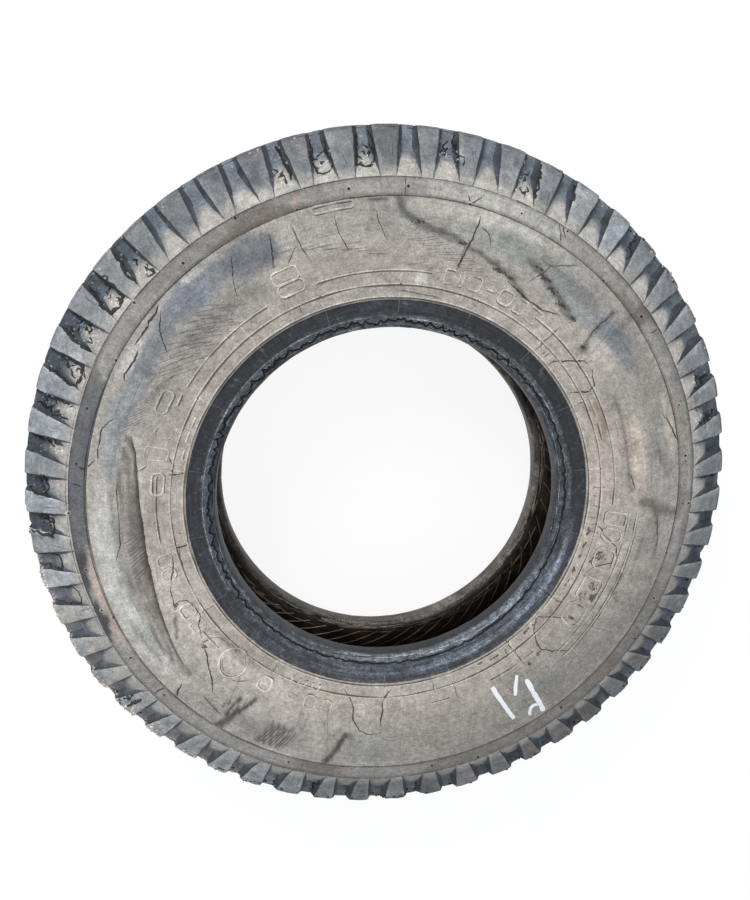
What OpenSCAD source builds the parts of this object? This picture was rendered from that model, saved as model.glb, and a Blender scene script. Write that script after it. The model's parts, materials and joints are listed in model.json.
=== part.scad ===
// Worn cross-ply truck tyre, rib tread, lying on one sidewall.
// Millimetres. Z is the wheel axis. The origin is in the middle of the underside.

/* [Overall] */
// Overall diameter over the worn tread
tyre_od = 1040; // [870:1:1250]
// Section width, from sidewall to sidewall, with the tyre off its rim
section_w = 256; // [213:1:308]
// Diameter of the two bead bores
seat_d = 504; // [420:1:605]

/* [Tread] */
// Width of the tread, from edge to edge
tread_w = 168; // [140:1:202]
// How much lower the tread edge is than the middle of the tread
crown_drop = 3.6; // [1:0.1:8]
// Radius that wear has left on the tread edge
edge_round = 7; // [2:0.5:12]
// Number of grooves round the tread
groove_count = 4; // [2:1:5]
// Width of one groove at the worn surface
groove_w = 9; // [5:0.5:13]
// Depth that is left of each groove
groove_depth = 4; // [2:0.5:9]
// How far each groove swings to either side
groove_swing = 4; // [1:0.5:7]

/* [Shoulder] */
// Radial height of the lugged shoulder, from the tread edge to the plain band
shoulder_h = 67; // [50:1:85]
// Number of notches round each shoulder
notch_count = 54; // [40:1:60]
// Angle of the first notch from the Y axis, clockwise from above
notch_start = 1.2; // [0:0.1:6.6]
// Width of a notch at its mouth
notch_w = 31; // [20:1:37]
// Width of a notch at its floor, where it is deepest
notch_floor_w = 16; // [8:1:24]
// Length of the shallow ramp of a notch, along the shoulder
notch_ramp = 40; // [25:1:50]
// Depth of a notch at the end of its ramp
notch_knee = 8; // [4:0.5:12]
// Depth of a notch at the tread edge
notch_deep = 17; // [12:0.5:22]
// How far a notch runs into the tread face
notch_reach = 16; // [8:1:24]

/* [Sidewall] */
// Width of the plain band under the lugs
band_w = 25; // [12:1:40]
// How deep the plain band is sunk
band_sink = 1.5; // [0.5:0.1:3]
// How much lower the outer edge of the band is than the widest part
band_drop = 8.6; // [4:0.1:14]
// Rise of the sidewall from the outer edge of the band to its inner edge
band_rise = 4.2; // [1:0.1:8]
// Width of the flat ring that the sidewall rests on
rest_w = 20; // [8:1:40]
// Place of the widest part, from rim line (0) to plain band (1)
belly_place = 0.71; // [0.5:0.01:0.8]
// Height of the two moulded rings by the rim line
ring_h = 0.8; // [0.3:0.1:1.5]
// Width of a moulded ring
ring_w = 2.4; // [1:0.1:4]
// Distance of the first ring from the rim line
ring_first = 4.5; // [3:0.5:10]
// Distance between the two rings
ring_gap = 17; // [8:0.5:24]

/* [Bead] */
// Distance between the two bead toes
bead_gap = 116; // [90:1:170]
// Length of the straight bore of one bead
seat_len = 22; // [14:1:30]
// Radius of the bead heel
heel_round = 11; // [5:0.5:14]
// Radius of the bead toe
toe_round = 3; // [1:0.5:5]
// Radial height of the black band that the rim flange rubs
flange_h = 40; // [30:1:55]
// How deep the flange band is sunk at the rim line
flange_sink = 4; // [1:0.5:7]
// Rise of the flange band from the heel to the rim line
flange_rise = 7; // [2:0.5:14]
// How much nearer to the middle plane the lower bead lies than the upper one
bead_lift = 38; // [0:1:45]

/* [Casing] */
// Thickness of the casing under the middle of the tread
crown_t = 28; // [20:1:36]
// Thickness of the sidewall at its widest part
side_t = 13; // [9:0.5:18]

/* [Crease] */
// Angle at which the crease in the upper sidewall starts, clockwise from the Y axis
crease_from = 232; // [180:1:250]
// Angle that the crease spans
crease_span = 52; // [20:1:80]
// Depth of the crease
crease_depth = 4; // [1:0.5:7]
// Radius of the fold that made the crease
crease_round = 34; // [20:1:60]
// How far the crease lies in from the widest part
crease_in = 18; // [5:1:30]

/* [Hidden] */
$fn = 180;
eps = 0.01;
curve_n = 10;
rubber = [0.36, 0.36, 0.36];

crown_r = tyre_od / 2;
mid_h = section_w / 2;
seat_r = seat_d / 2;
edge_r = crown_r - crown_drop;
edge_h = tread_w / 2;

band_out = [edge_r - shoulder_h, mid_h - band_drop];
band_in = [band_out[0] - band_w, band_out[1] + band_rise];
heel_h = bead_gap / 2 + toe_round + seat_len + heel_round;
rim_line = [seat_r + flange_h, heel_h + flange_rise];
belly_r = rim_line[0] + belly_place * (band_in[0] - rim_line[0]);
ledge = [rim_line[0] + flange_sink, rim_line[1] + flange_sink];

shoulder_len = norm([shoulder_h, band_out[1] - edge_h]);
shoulder_slope = atan2(band_out[1] - edge_h, shoulder_h);
rib_pitch = tread_w / (groove_count + 1);

// Points of an arc, from angle a to angle b
function arc(c, r, a, b, n) =
    [for (i = [0:n]) c + r * [cos(a + (b - a) * i / n), sin(a + (b - a) * i / n)]];

// Points of a cubic curve through its two end points
function curve(p, q, r, s, n = curve_n) =
    [for (i = [0:n]) let (t = i / n, u = 1 - t)
        u * u * u * p + 3 * u * u * t * q + 3 * u * t * t * r + t * t * t * s];

// Points of a quarter of a squared ellipse, from its outer end to its top
function quarter(c, a, b, power, n) =
    [for (i = [0:n]) let (t = 90 * i / n)
        c + [a * pow(cos(t), 2 / power), b * pow(sin(t), 2 / power)]];

// The same points below the middle plane, in the opposite order
function flipped(points) =
    [for (i = [len(points) - 1:-1:0]) [points[i][0], -points[i][1]]];

// How far the lower wall is pushed up at a radius, from the ring that it rests on (0) to the bead (1)
function rise(r) =
    let (t = max(0, min(1, (belly_r - rest_w / 2 - r) / (belly_r - rest_w / 2 - ledge[0]))))
        t * t * (3 - 2 * t);

// The lower half, with its bead pushed up
function lifted(points) = [for (p = points) [p[0], p[1] + bead_lift * rise(p[0])]];

// The flexing part of the sidewall, from its widest part to the rim line
lower_wall = curve([belly_r - rest_w / 2, mid_h], [belly_r - rest_w * 1.5, mid_h],
    ledge + [0.35 * (belly_r - ledge[0]), min(6, 0.3 * (mid_h - ledge[1]))], ledge);

// Radius of the worn tread at a height above the middle plane
function tread_r(h) = crown_r - crown_drop * pow(h / edge_h, 2);

// Outside of the upper half, from the middle of the tread to the toe
function outside() = concat(
    [for (i = [0:6]) let (h = (edge_h - edge_round) * i / 6) [tread_r(h), h]],
    arc([tread_r(edge_h - edge_round) - edge_round, edge_h - edge_round],
        edge_round, 15, 90 - shoulder_slope, 4),
    [band_out + [0.6, 0]],
    [band_out + [-0.6, -band_sink]],
    [band_in + [0.6, -band_sink]],
    [band_in],
    curve([band_in[0] - 4, band_in[1] + 0.7], [belly_r + rest_w, mid_h - 0.6],
        [belly_r + rest_w * 0.8, mid_h], [belly_r + rest_w / 2, mid_h]),
    lower_wall,
    [rim_line],
    arc([seat_r + heel_round, heel_h - heel_round], heel_round, 100, 180, 6),
    arc([seat_r + toe_round, bead_gap / 2 + toe_round], toe_round, 180, 240, 3));

// Inside of the upper half, from the toe to the middle of the crown
function inside() = concat(
    curve([seat_r + toe_round + 6, bead_gap / 2 + 1], [seat_r + 50, bead_gap / 2 + 36],
        [belly_r - 60, mid_h - side_t], [belly_r, mid_h - side_t]),
    flipped([for (p = quarter([belly_r, 0], crown_r - crown_t - belly_r, mid_h - side_t,
        2.3, curve_n)) if (p[1] < mid_h - side_t - eps) [p[0], -p[1]]]));

module casing_section() {
    half = concat(outside(), inside());
    polygon(concat(half, lifted(flipped(half))));
}

// Height of the flexing wall at a radius, on the upper side (1) or the lower side (-1)
function wall_h(r, side) =
    side * lookup(r, lower_wall) + (side < 0 ? bead_lift * rise(r) : 0);

// One moulded ring, a low ridge that stands on the flexing part of the sidewall
module ring_section(r, side) {
    slope = atan(wall_h(r + 1, side) - wall_h(r, side));
    translate([r, wall_h(r, side)])
        rotate(slope) square([ring_w, 2 * ring_h], center = true);
}

module moulded_rings() {
    for (k = [0, 1], side = [1, -1])
        ring_section(rim_line[0] + ring_first + k * ring_gap, side);
}

// A groove that swings from side to side, as one ring
module groove(h) {
    steps = 2 * notch_count;
    low_r = tread_r(h) - groove_depth;
    high_r = crown_r + groove_depth;
    floor_w = 0.6 * groove_w;
    corners = [
        for (i = [0:steps - 1])
            let (
                a = 90 - notch_start - 360 * i / steps,
                mid = h + (i % 2 == 0 ? groove_swing : -groove_swing)
            )
            for (c = [[low_r, -floor_w / 2], [low_r, floor_w / 2],
                    [high_r, groove_w / 2 + 1], [high_r, -groove_w / 2 - 1]])
                [c[0] * cos(a), c[0] * sin(a), mid + c[1]]
    ];
    faces = [
        for (i = [0:steps - 1], k = [0:3])
            let (
                a = 4 * i + k,
                b = 4 * i + (k + 1) % 4,
                c = 4 * ((i + 1) % steps) + (k + 1) % 4,
                d = 4 * ((i + 1) % steps) + k
            )
            each [[a, b, c], [a, c, d]]
    ];
    polyhedron(corners, faces);
}

// The cut for one notch: a kinked ramp, narrow at its floor and wide at its mouth.
// It starts at the band, with +X down the shoulder and +Z out of it.
module notch() {
    lift = 12;
    side = (notch_w - notch_floor_w) / 2 / notch_deep;
    slope_end = shoulder_len + 6;
    intersection() {
        rotate([90, 0, 0])
            linear_extrude(notch_w * 2, center = true)
                polygon([
                    [0, 0], [notch_ramp, -notch_knee],
                    [shoulder_len - notch_deep * 0.4, -notch_deep - notch_reach * 0.55],
                    [slope_end + 22, -notch_reach * 0.55 - 4],
                    [slope_end + 22, lift], [-2, lift], [-2, eps]
                ]);
        rotate([90, 0, 90])
            linear_extrude(slope_end * 4, center = true)
                polygon([
                    [-notch_floor_w / 2, -notch_deep], [notch_floor_w / 2, -notch_deep],
                    [notch_w / 2 + side * lift, lift], [-notch_w / 2 - side * lift, lift]
                ]);
    }
}

module shoulder_notches() {
    for (i = [0:notch_count - 1])
        rotate(90 - notch_start - i * 360 / notch_count)
            translate([band_out[0] + 2, 0, band_out[1] - 0.5])
                rotate([0, shoulder_slope, 0]) notch();
}

// The long crease, where the sidewall was folded
module crease() {
    depth_r = crease_round - crease_depth;
    rotate(90 - crease_from - crease_span)
        rotate_extrude(angle = crease_span)
            translate([belly_r - crease_in, mid_h + depth_r]) circle(crease_round);
}

module tyre() {
    color(rubber)
        translate([0, 0, mid_h])
            difference() {
                rotate_extrude() {
                    casing_section();
                    moulded_rings();
                }
                for (i = [0:groove_count - 1])
                    groove((i - (groove_count - 1) / 2) * rib_pitch);
                shoulder_notches();
                mirror([0, 0, 1]) rotate(180 / notch_count) shoulder_notches();
                crease();
            }
}

tyre();
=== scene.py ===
# %% [markdown]
# # An old truck tyre, worn, creased and dusty
# The real thing is one piece of moulded rubber, 1040 mm across, lying on its side.
# Everything here is built on the CAD frame, so one metre is one metre and the wheel axis is Z.
# Angles are counted clockwise from +Y, seen from above, as on a clock face.

# %% Load the frame
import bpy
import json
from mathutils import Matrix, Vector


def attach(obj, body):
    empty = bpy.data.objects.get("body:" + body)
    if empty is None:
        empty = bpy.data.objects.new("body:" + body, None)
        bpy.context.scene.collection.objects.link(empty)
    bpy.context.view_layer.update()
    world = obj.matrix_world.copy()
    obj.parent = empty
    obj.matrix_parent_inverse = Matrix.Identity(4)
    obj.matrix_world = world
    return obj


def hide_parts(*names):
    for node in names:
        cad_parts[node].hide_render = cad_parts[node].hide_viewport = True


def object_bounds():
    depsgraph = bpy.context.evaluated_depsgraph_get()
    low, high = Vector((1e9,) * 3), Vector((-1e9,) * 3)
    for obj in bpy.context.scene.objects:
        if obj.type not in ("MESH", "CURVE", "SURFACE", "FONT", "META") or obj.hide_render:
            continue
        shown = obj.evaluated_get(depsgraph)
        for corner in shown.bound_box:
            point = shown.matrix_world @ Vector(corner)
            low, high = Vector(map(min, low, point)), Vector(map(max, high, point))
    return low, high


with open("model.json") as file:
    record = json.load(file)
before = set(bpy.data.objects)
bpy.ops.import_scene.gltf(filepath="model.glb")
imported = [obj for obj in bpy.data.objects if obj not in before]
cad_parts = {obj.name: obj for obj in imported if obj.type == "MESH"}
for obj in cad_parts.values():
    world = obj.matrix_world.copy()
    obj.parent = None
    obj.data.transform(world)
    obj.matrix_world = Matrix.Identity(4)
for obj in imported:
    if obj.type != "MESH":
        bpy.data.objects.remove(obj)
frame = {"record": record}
cad_low, cad_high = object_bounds()
print("CAD box:", [round(v, 3) for v in (*cad_low, *cad_high)])

# %% Tools
import json
import math
import bmesh
import bpy
import numpy as np
from mathutils import Vector
from mathutils.bvhtree import BVHTree

mm = 0.001
scene = bpy.context.scene

# %% [markdown]
# ## Sizes
# A tyre is a turned shape: most of it follows one section, swept round the axis. So the sizes
# that matter are radii and heights. They come from the CAD box and the record where those hold
# them, and the rest repeats the sizes of the CAD part, in millimetres from the middle plane.

# %% The section's main sizes
crown_r = (cad_high.x - cad_low.x) / 2 / mm
mid_h = (cad_high.z - cad_low.z) / 2 / mm
seat_r = frame["record"]["mounts"][0]["dims"]["r_mm"]
crown_drop, edge_h, edge_round = 3.6, 84.0, 3.5
band_out = np.array([449.4, 119.4])
band_in = np.array([424.4, 123.6])
tread_edge = np.array([crown_r - crown_drop, edge_h])
belly_r, ledge = 386.0, (296.0, 105.0)
inner_crown, inner_peak = 492.0, 115
bead_lift = 38.0
bulge_room = 1.8
notch_count, notch_start = 54, 1.2
pitch = 360 / notch_count
down = (tread_edge - band_out) / np.linalg.norm(tread_edge - band_out)
out = np.array([-down[1], down[0]])
print("crown radius", crown_r, "bead radius", seat_r, "one notch every", round(pitch, 3), "degrees")

# %% Curves of the section
def tread_r(h):
    return crown_r - crown_drop * (h / edge_h) ** 2

def cubic(p, q, r, s, n):
    t = np.linspace(0, 1, n)[:, None]
    p, q, r, s = (np.array(v, float) for v in (p, q, r, s))
    return (1 - t) ** 3 * p + 3 * (1 - t) ** 2 * t * q + 3 * (1 - t) * t ** 2 * r + t ** 3 * s

# The flexing wall: from the plain band, over the widest part, down to the rim line
wall_curve = np.vstack([
    cubic((420.4, 124.3), (406, 127.4), (402.8, 128), (396, 128), 12),
    cubic((376, 128), (356, 128), (327.5, 111), ledge, 40),
])

def wall_h(r):
    # a little under the CAD's widest part, so that a bulge in the rubber still fits the CAD box
    flat = np.interp(r, wall_curve[::-1, 0], wall_curve[::-1, 1])
    return flat - bulge_room * np.clip((r - 300) / 40, 0, 1) * np.clip((426 - r) / 20, 0, 1)

def rise(r):
    # 0 on the ring that the lower wall rests on, 1 at the lower bead, which is pushed up
    start = belly_r - 10
    t = np.clip((start - r) / (start - ledge[0]), 0, 1)
    return t * t * (3 - 2 * t)

print("height of the widest part:", round(float(wall_h(belly_r)), 2))

# %% [markdown]
# ## One sector of the casing
# The same notch comes 54 times round each shoulder, so one sector, a notch pitch wide, is enough
# to model: rows run round the section, and 12 columns run across the sector. Four kinds
# of column follow the notch: lug edge, mouth, floor edge and floor. Elsewhere they are even.
# Each row says where its lug point and its floor point are. Where there's no notch they agree.

# %% Rows of the section
rows = []

def row(zone, lug, floor=None, mouth=0.0, foot=0.0, grip=0.0, swing=0.0, side=1, fine=True):
    lug = np.array(lug, float)
    floor = lug if floor is None else np.array(floor, float)
    if side < 0:
        lift = np.array([0, bead_lift * rise(lug[0])])
        lug, floor = lug + lift, floor + lift
    rows.append(dict(zone=zone, lug=lug, floor=floor, mouth=mouth, foot=foot, grip=grip,
                     swing=swing, side=side, fine=fine))

zones = ["tread", "groove", "lug", "flank", "ramp", "pocket", "band", "wall", "rim", "bead",
         "seat", "liner", "under"]

# %% The worn tread, with its zigzag grooves
zigzag = 4
groove = [(-5.4, 0.0), (-4.3, -0.7), (-2.7, -4.0), (2.7, -4.0), (4.3, -0.7), (5.4, 0.0)]

def tread_rows():
    for h in (0.0, 5.6):
        row("tread", (tread_r(h), h), swing=zigzag)
    for mid, after in ((16.8, (27.5, 33.6, 39.7)), (50.4, ())):
        for step, depth in groove:
            zone = "groove" if abs(step) < 4 else "tread"
            row(zone, (tread_r(mid + step) + depth, mid + step), swing=zigzag)
        for h in after:
            row("tread", (tread_r(h), h), swing=zigzag)

tread_rows()
print(len(rows), "rows from the middle of the tread to its last groove")

# %% [markdown]
# ## The notch
# A notch starts as a shallow ramp at the plain band. After 42 mm its floor dives, and it leaves
# the casing through the tread face. It is 35 mm wide at the band and 26 mm at the tread edge, and
# its sides lean outwards, so that its floor is about half as wide. The CAD keeps one mean width.

# %% Rows of the tread edge and the shoulder
exit_h = 71.0

def along(s, depth=0.0):
    return band_out + s * down - depth * out

def notch_depth(s):
    return float(np.interp(s, [2, 42, 56.4, 90], [0, 8, 17, 17]))

def notch_mouth(s):
    return float(np.interp(s, [0, 76], [17.3, 13.0]))

def notch_foot(s):
    return float(np.interp(s, [0, 20, 42, 60], [16.4, 12.5, 8.2, 7.4]))

def edge_rows():
    centre = np.array([tread_r(edge_h - edge_round) - edge_round, edge_h - edge_round])
    lugs = [(tread_r(exit_h), exit_h), (tread_r(75), 75), (tread_r(79), 79)]
    lugs += [centre + edge_round * np.array([math.cos(a), math.sin(a)]) for a in (0.3, 0.65, 1.0)]
    lugs += [along(66.5), along(60.5), along(54.6)]
    lugs = [np.array(p) for p in lugs]
    steps = [np.linalg.norm(b - a) for a, b in zip(lugs, lugs[1:])]
    travel = np.concatenate([[0], np.cumsum(steps)])
    start, end = lugs[0], along(54.6, notch_depth(54.6))
    for p, t in zip(lugs, travel / travel[-1]):
        below = min(17.0, max(0.0, float((band_out - p) @ out)))
        mouth = notch_mouth(70) - 0.3 * below
        row("lug", p, start + t * (end - start), mouth=mouth, foot=min(mouth - 1.0, 7.4), grip=1)

def shoulder_rows():
    for s in (48.5, 42.5, 35.0, 27.0, 19.0, 11.0, 5.0, 1.6):
        depth = notch_depth(s)
        row("lug", along(s), along(s, depth), mouth=notch_mouth(s), foot=notch_foot(s), grip=1)

edge_rows()
shoulder_rows()
print(len(rows), "rows down to the plain band")

# %% The plain band, the wall and the bead
def band_rows():
    top, wide = along(0.0), notch_mouth(0)
    row("lug", top, mouth=wide + 0.3, foot=wide - 0.7, grip=1)
    row("band", top + (-1.0, -1.5), mouth=wide + 0.3, foot=wide - 0.7, grip=0.9)
    for t, grip in ((0.25, 0.6), (0.5, 0.3), (0.75, 0.1)):
        row("band", top + t * (band_in - top) + (0, -1.5), mouth=wide, foot=wide - 1, grip=grip)
    row("band", band_in + (0.9, -1.5))
    row("wall", band_in + (0.0, -0.1))

def wall_rows():
    for r in np.linspace(421, 297.5, 31):
        row("wall", (r, wall_h(r)))

def bead_rows():
    row("wall", (294.4, 103.9))
    row("rim", (292.2, 101.9))
    row("rim", (291.2, 100.6))
    for r, h in ((288, 100.0), (283, 98.9), (278, 97.8), (273, 96.7), (269, 95.8)):
        row("bead", (r, h))
    row("bead", (265.4, 94.9))
    row("bead", (264.0, 94.4))
    row("bead", (263.4, 92.6))
    row("seat", (259.5, 91.6))
    row("seat", (255.6, 88.6))
    row("seat", (253.0, 84.4))
    row("seat", (252.2, 79.0))

band_rows()
wall_rows()
bead_rows()
upper = list(rows)
print(len(upper), "rows on the upper half, outside")

# %% [markdown]
# ## Inside and underneath
# The inner wall is smooth and half hidden, so a third of the columns are enough for it. So they
# are for the lower sidewall, which lies on the floor. The lower shoulder has the same notches,
# but turned by half a pitch, as they are on a real tyre.

# %% The inner wall, from the upper toe to the lower toe
def inner_half():
    toe = [(252.0, 66.0), (252.2, 61.0), (253.6, 58.3), (257.0, 57.6)]
    climb = cubic((262.0, 59.5), (302, 94), (326, inner_peak), (386, inner_peak), 11)
    square = 2 / 2.3
    bend = [(386 + 106 * math.cos(math.radians(a)) ** square,
             inner_peak * math.sin(math.radians(a)) ** square) for a in range(81, 0, -9)]
    return toe + [tuple(p) for p in climb] + bend

inner = inner_half()
for n, p in enumerate(inner):
    row("seat" if n < 3 else "liner", p, fine=False)
row("liner", (inner_crown, 0.0), fine=False)
for n, p in enumerate(inner[::-1]):
    row("seat" if n >= len(inner) - 3 else "liner", (p[0], -p[1]), fine=False, side=-1)
print(len(rows), "rows to the lower toe")

# %% The lower half, mirrored
def lower_rows():
    plain = [r for r in upper if r["zone"] in ("wall", "rim", "bead", "seat")]
    for n, r in enumerate(plain[::-1]):
        if n % 2 == 0 or r["zone"] in ("rim", "seat"):
            zone = "under" if r["zone"] == "wall" else r["zone"]
            rests = zone == "under" and abs(r["lug"][0] - belly_r) < 11
            h = r["lug"][1] + (bulge_room if rests else 0)
            row(zone, (r["lug"][0], -min(h, mid_h)), fine=False, side=-1)
    end = next(i for i, r in enumerate(upper) if r["zone"] == "wall")
    for r in upper[1:end][::-1]:
        fine = not (r["zone"] == "band" and r["grip"] < 0.2)
        flip = np.array([1, -1])
        row(r["zone"], r["lug"] * flip, r["floor"] * flip, r["mouth"], r["foot"], r["grip"],
            r["swing"], side=-1, fine=fine)

lower_rows()
print(len(rows), "rows right round the section")

# %% Angles of the 12 columns
def column_angle(r, k):
    # degrees from the sector's own notch centre, which is at column 4 above and 10 below
    centre = 4 if r["side"] > 0 else 10
    even = (k - 4) * pitch / 12
    if r["grip"] == 0:
        return even, None
    rel, turn = k - centre, (0 if r["side"] > 0 else pitch / 2)
    if rel < -4:
        rel, turn = rel + 12, turn - pitch
    deg = math.degrees(1 / r["lug"][0])
    foot, mouth, edge = r["foot"] * deg, r["mouth"] * deg, (r["mouth"] + 1.6) * deg
    places = {-4: -edge, -3: -mouth, -2: -foot, -1: -foot / 2, 0: 0, 1: foot / 2, 2: foot,
              3: mouth, 4: edge}
    held = places.get(rel, edge + (rel - 4) / 4 * (pitch - 2 * edge))
    return (1 - r["grip"]) * even + r["grip"] * (held + turn), rel

def swing_of(even):
    # a zigzag: all the way up at an upper notch's centre and all the way down between two
    away = abs((even / pitch + 0.5) % 1 - 0.5)
    return 1 - 4 * away

# %% Build the sector
sector = bmesh.new()
grip_of = sector.verts.layers.float.new("grip")
depth_of = sector.verts.layers.float.new("depth")
edge_of = sector.verts.layers.float.new("edge")
zone_of = sector.faces.layers.int.new("zone")
grid = []
for r in rows:
    line = []
    for k in range(0, 13, 1 if r["fine"] else 3):
        angle, rel = column_angle(r, k)
        p, on_floor = r["lug"].copy(), False
        if rel is not None and abs(rel) <= 2:
            p, on_floor = r["floor"].copy(), True
        elif rel is not None and abs(rel) == 3 and r["zone"] == "lug":
            p = p - 0.9 * np.array([out[0], out[1] * r["side"]])
        if r["swing"]:
            p[1] += r["swing"] * swing_of((k - 4) * pitch / 12)
        a = math.radians(notch_start + angle)
        v = sector.verts.new((p[0] * math.sin(a) * mm, p[0] * math.cos(a) * mm, (p[1] + mid_h) * mm))
        v[grip_of] = r["grip"]
        v[depth_of] = float(np.linalg.norm(r["lug"] - r["floor"])) if on_floor else 0.0
        v[edge_of] = 1.0 if rel is not None and abs(rel) in (3, 4) else 0.0
        line.append((v, rel, k))
    grid.append(line)
print("sector rows and corners:", len(grid), len(sector.verts))

# %% Skin the sector
def face_zone(r, s, rels):
    name = r["zone"] if r["zone"] == s["zone"] or s["zone"] in ("band", "wall", "rim") else s["zone"]
    if r["zone"] == "band" or s["zone"] == "band":
        name = "band"
    if "groove" in (r["zone"], s["zone"]):
        name = "groove"
    if name == "lug" and None not in rels:
        a, b = sorted(abs(x) for x in rels)
        if b <= 2:
            knee = max(np.linalg.norm(q["lug"] - q["floor"]) for q in (r, s))
            name = "ramp" if knee < 8.6 and r["lug"][0] < 495 else "pocket"
        elif b == 3 and a == 2:
            name = "flank"
    return zones.index(name)

for i, r in enumerate(rows):
    s = rows[(i + 1) % len(rows)]
    here, there = grid[i], grid[(i + 1) % len(rows)]
    if len(here) == len(there):
        for c in range(len(here) - 1):
            f = sector.faces.new((here[c][0], here[c + 1][0], there[c + 1][0], there[c][0]))
            rel = (here[c][1] if here[c][1] is not None else there[c][1],
                   here[c + 1][1] if here[c + 1][1] is not None else there[c + 1][1])
            f[zone_of] = face_zone(r, s, rel)
    else:
        long, short = (here, there) if len(here) > len(there) else (there, here)
        for c in range(4):
            ring = [short[c][0], short[c + 1][0]] + [long[3 * c + j][0] for j in (3, 2, 1, 0)]
            f = sector.faces.new(ring if short is there else ring[::-1])
            f[zone_of] = face_zone(r, s, (None, None))

sector_mesh = bpy.data.meshes.new("sector")
sector.to_mesh(sector_mesh)
sector.free()
casing = bpy.data.objects.new("worn_casing", sector_mesh)
scene.collection.objects.link(casing)
print("sector faces:", len(sector_mesh.polygons))

# %% [markdown]
# ## Helpers for node trees
# Geometry Nodes make all that repeats or follows a path here. Each tree has named inputs for its
# sizes, and the result is turned into a plain mesh, because an export drops live modifiers.

# %% Node helpers
def new_tree(name, **inputs):
    tree = bpy.data.node_groups.new(name, "GeometryNodeTree")
    tree.interface.new_socket("Geometry", in_out="INPUT", socket_type="NodeSocketGeometry")
    for label, socket in inputs.items():
        tree.interface.new_socket(label, in_out="INPUT", socket_type=socket)
    tree.interface.new_socket("Geometry", in_out="OUTPUT", socket_type="NodeSocketGeometry")
    return tree, tree.nodes.new("NodeGroupInput"), tree.nodes.new("NodeGroupOutput")

def node(tree, kind, settings=None, **links):
    made = tree.nodes.new(kind)
    for name, value in (settings or {}).items():
        setattr(made, name, value)
    for name, value in links.items():
        # i_2 means the third input, and any other word is the input's own name
        socket = made.inputs[int(name[2:]) if name.startswith("i_") else name]
        if isinstance(value, bpy.types.NodeSocket):
            tree.links.new(value, socket)
        else:
            socket.default_value = value
    return made

def sums(tree, kind, a, b):
    return node(tree, "ShaderNodeMath", {"operation": kind}, i_0=a, i_1=b).outputs[0]

def copies_round(tree, given, shape, full_turn):
    # as many copies of the shape as the Count input says, evenly round the axis
    points = node(tree, "GeometryNodePoints", Count=given.outputs["Count"])
    index = node(tree, "GeometryNodeInputIndex").outputs[0]
    step = sums(tree, "DIVIDE", full_turn, given.outputs["Count"])
    spin = node(tree, "ShaderNodeCombineXYZ", Z=sums(tree, "MULTIPLY", index, step))
    return node(tree, "GeometryNodeInstanceOnPoints", Points=points.outputs[0], Instance=shape,
                Rotation=spin.outputs[0]).outputs[0]

def end_tree(tree, given, result, shape):
    # real faces with a real material, because an export drops instances
    real = node(tree, "GeometryNodeRealizeInstances", Geometry=shape)
    named = node(tree, "GeometryNodeSetMaterial", Geometry=real.outputs[0],
                 Material=given.outputs["Rubber"])
    tree.links.new(named.outputs[0], result.inputs[0])
    return tree

def bake_nodes(obj, tree, **values):
    # set the inputs by identifier, evaluate once, keep the result as a plain mesh
    mod = obj.modifiers.new("nodes", "NODES")
    mod.node_group = tree
    for item in tree.interface.items_tree:
        if item.in_out == "INPUT" and item.name in values:
            mod[item.identifier] = values[item.name]
    shape = obj.evaluated_get(bpy.context.evaluated_depsgraph_get())
    mesh = bpy.data.meshes.new_from_object(shape)
    obj.modifiers.clear()
    if obj.type == "MESH":
        obj.data = mesh
    mesh.name = obj.name
    return obj

# %% A tree that sets one sector 54 times round the axis
def ring_tree():
    tree, given, result = new_tree("Sectors round the axis", Count="NodeSocketInt",
                                   Weld="NodeSocketFloat", Rubber="NodeSocketMaterial")
    ring = copies_round(tree, given, given.outputs["Geometry"], -2 * math.pi)
    real = node(tree, "GeometryNodeRealizeInstances", Geometry=ring)
    weld = node(tree, "GeometryNodeMergeByDistance", Geometry=real.outputs[0],
                Distance=given.outputs["Weld"])
    return end_tree(tree, given, result, weld.outputs[0])

rubber = bpy.data.materials.new("dusty rubber")
bake_nodes(casing, ring_tree(), Count=notch_count, Weld=0.02 * mm, Rubber=rubber)
print("whole casing:", len(casing.data.vertices), "corners,", len(casing.data.polygons), "faces")

# %% [markdown]
# ## Wear, dents and the fold
# The casing so far is a new tyre. Wear is now pressed into it as one function of the radius, the
# angle and the height of each corner. Random shapes hang on a lattice of fixed numbers, so they
# are the same on each run. Nearly all of them push the rubber inwards, so it stays in its box.

# %% Noise that is the same on each run
def noise(p, cell, seed=0):
    q = np.asarray(p, float) / cell
    base = np.floor(q).astype(np.int64)
    f = q - base
    f = f * f * (3 - 2 * f)
    total = np.zeros(len(q))
    for corner in np.ndindex(2, 2, 2):
        c = base + corner
        n = (c[:, 0] * 374761393 + c[:, 1] * 668265263 + c[:, 2] * 97531 + seed * 7919) & 0x7FFFFFFF
        n = ((n ^ (n >> 13)) * 1274126177) & 0x7FFFFFFF
        n = (n ^ (n >> 16)) & 0xFFFF
        total += n / 32767.5 * np.prod(np.where(corner, f, 1 - f), axis=1)
    return total - 1

def fractal(p, cell, seed=0, octaves=3):
    return sum(noise(p, cell / 2 ** k, seed + k) / 2 ** k for k in range(octaves)) / 1.6

def smooth(a, b, x):
    t = np.clip((x - a) / (b - a), 0, 1)
    return t * t * (3 - 2 * t)

print("noise at three places:", np.round(noise([(0, 0, 0), (5, 5, 5), (9, 1, 4)], 4.0), 3))

# %% Corners as radius, angle and height
def read(mesh, name, kind="value", width=1):
    data = mesh.attributes[name].data
    values = np.empty(len(data) * width)
    data.foreach_get(kind, values)
    return values.reshape(-1, width) if width > 1 else values

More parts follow.
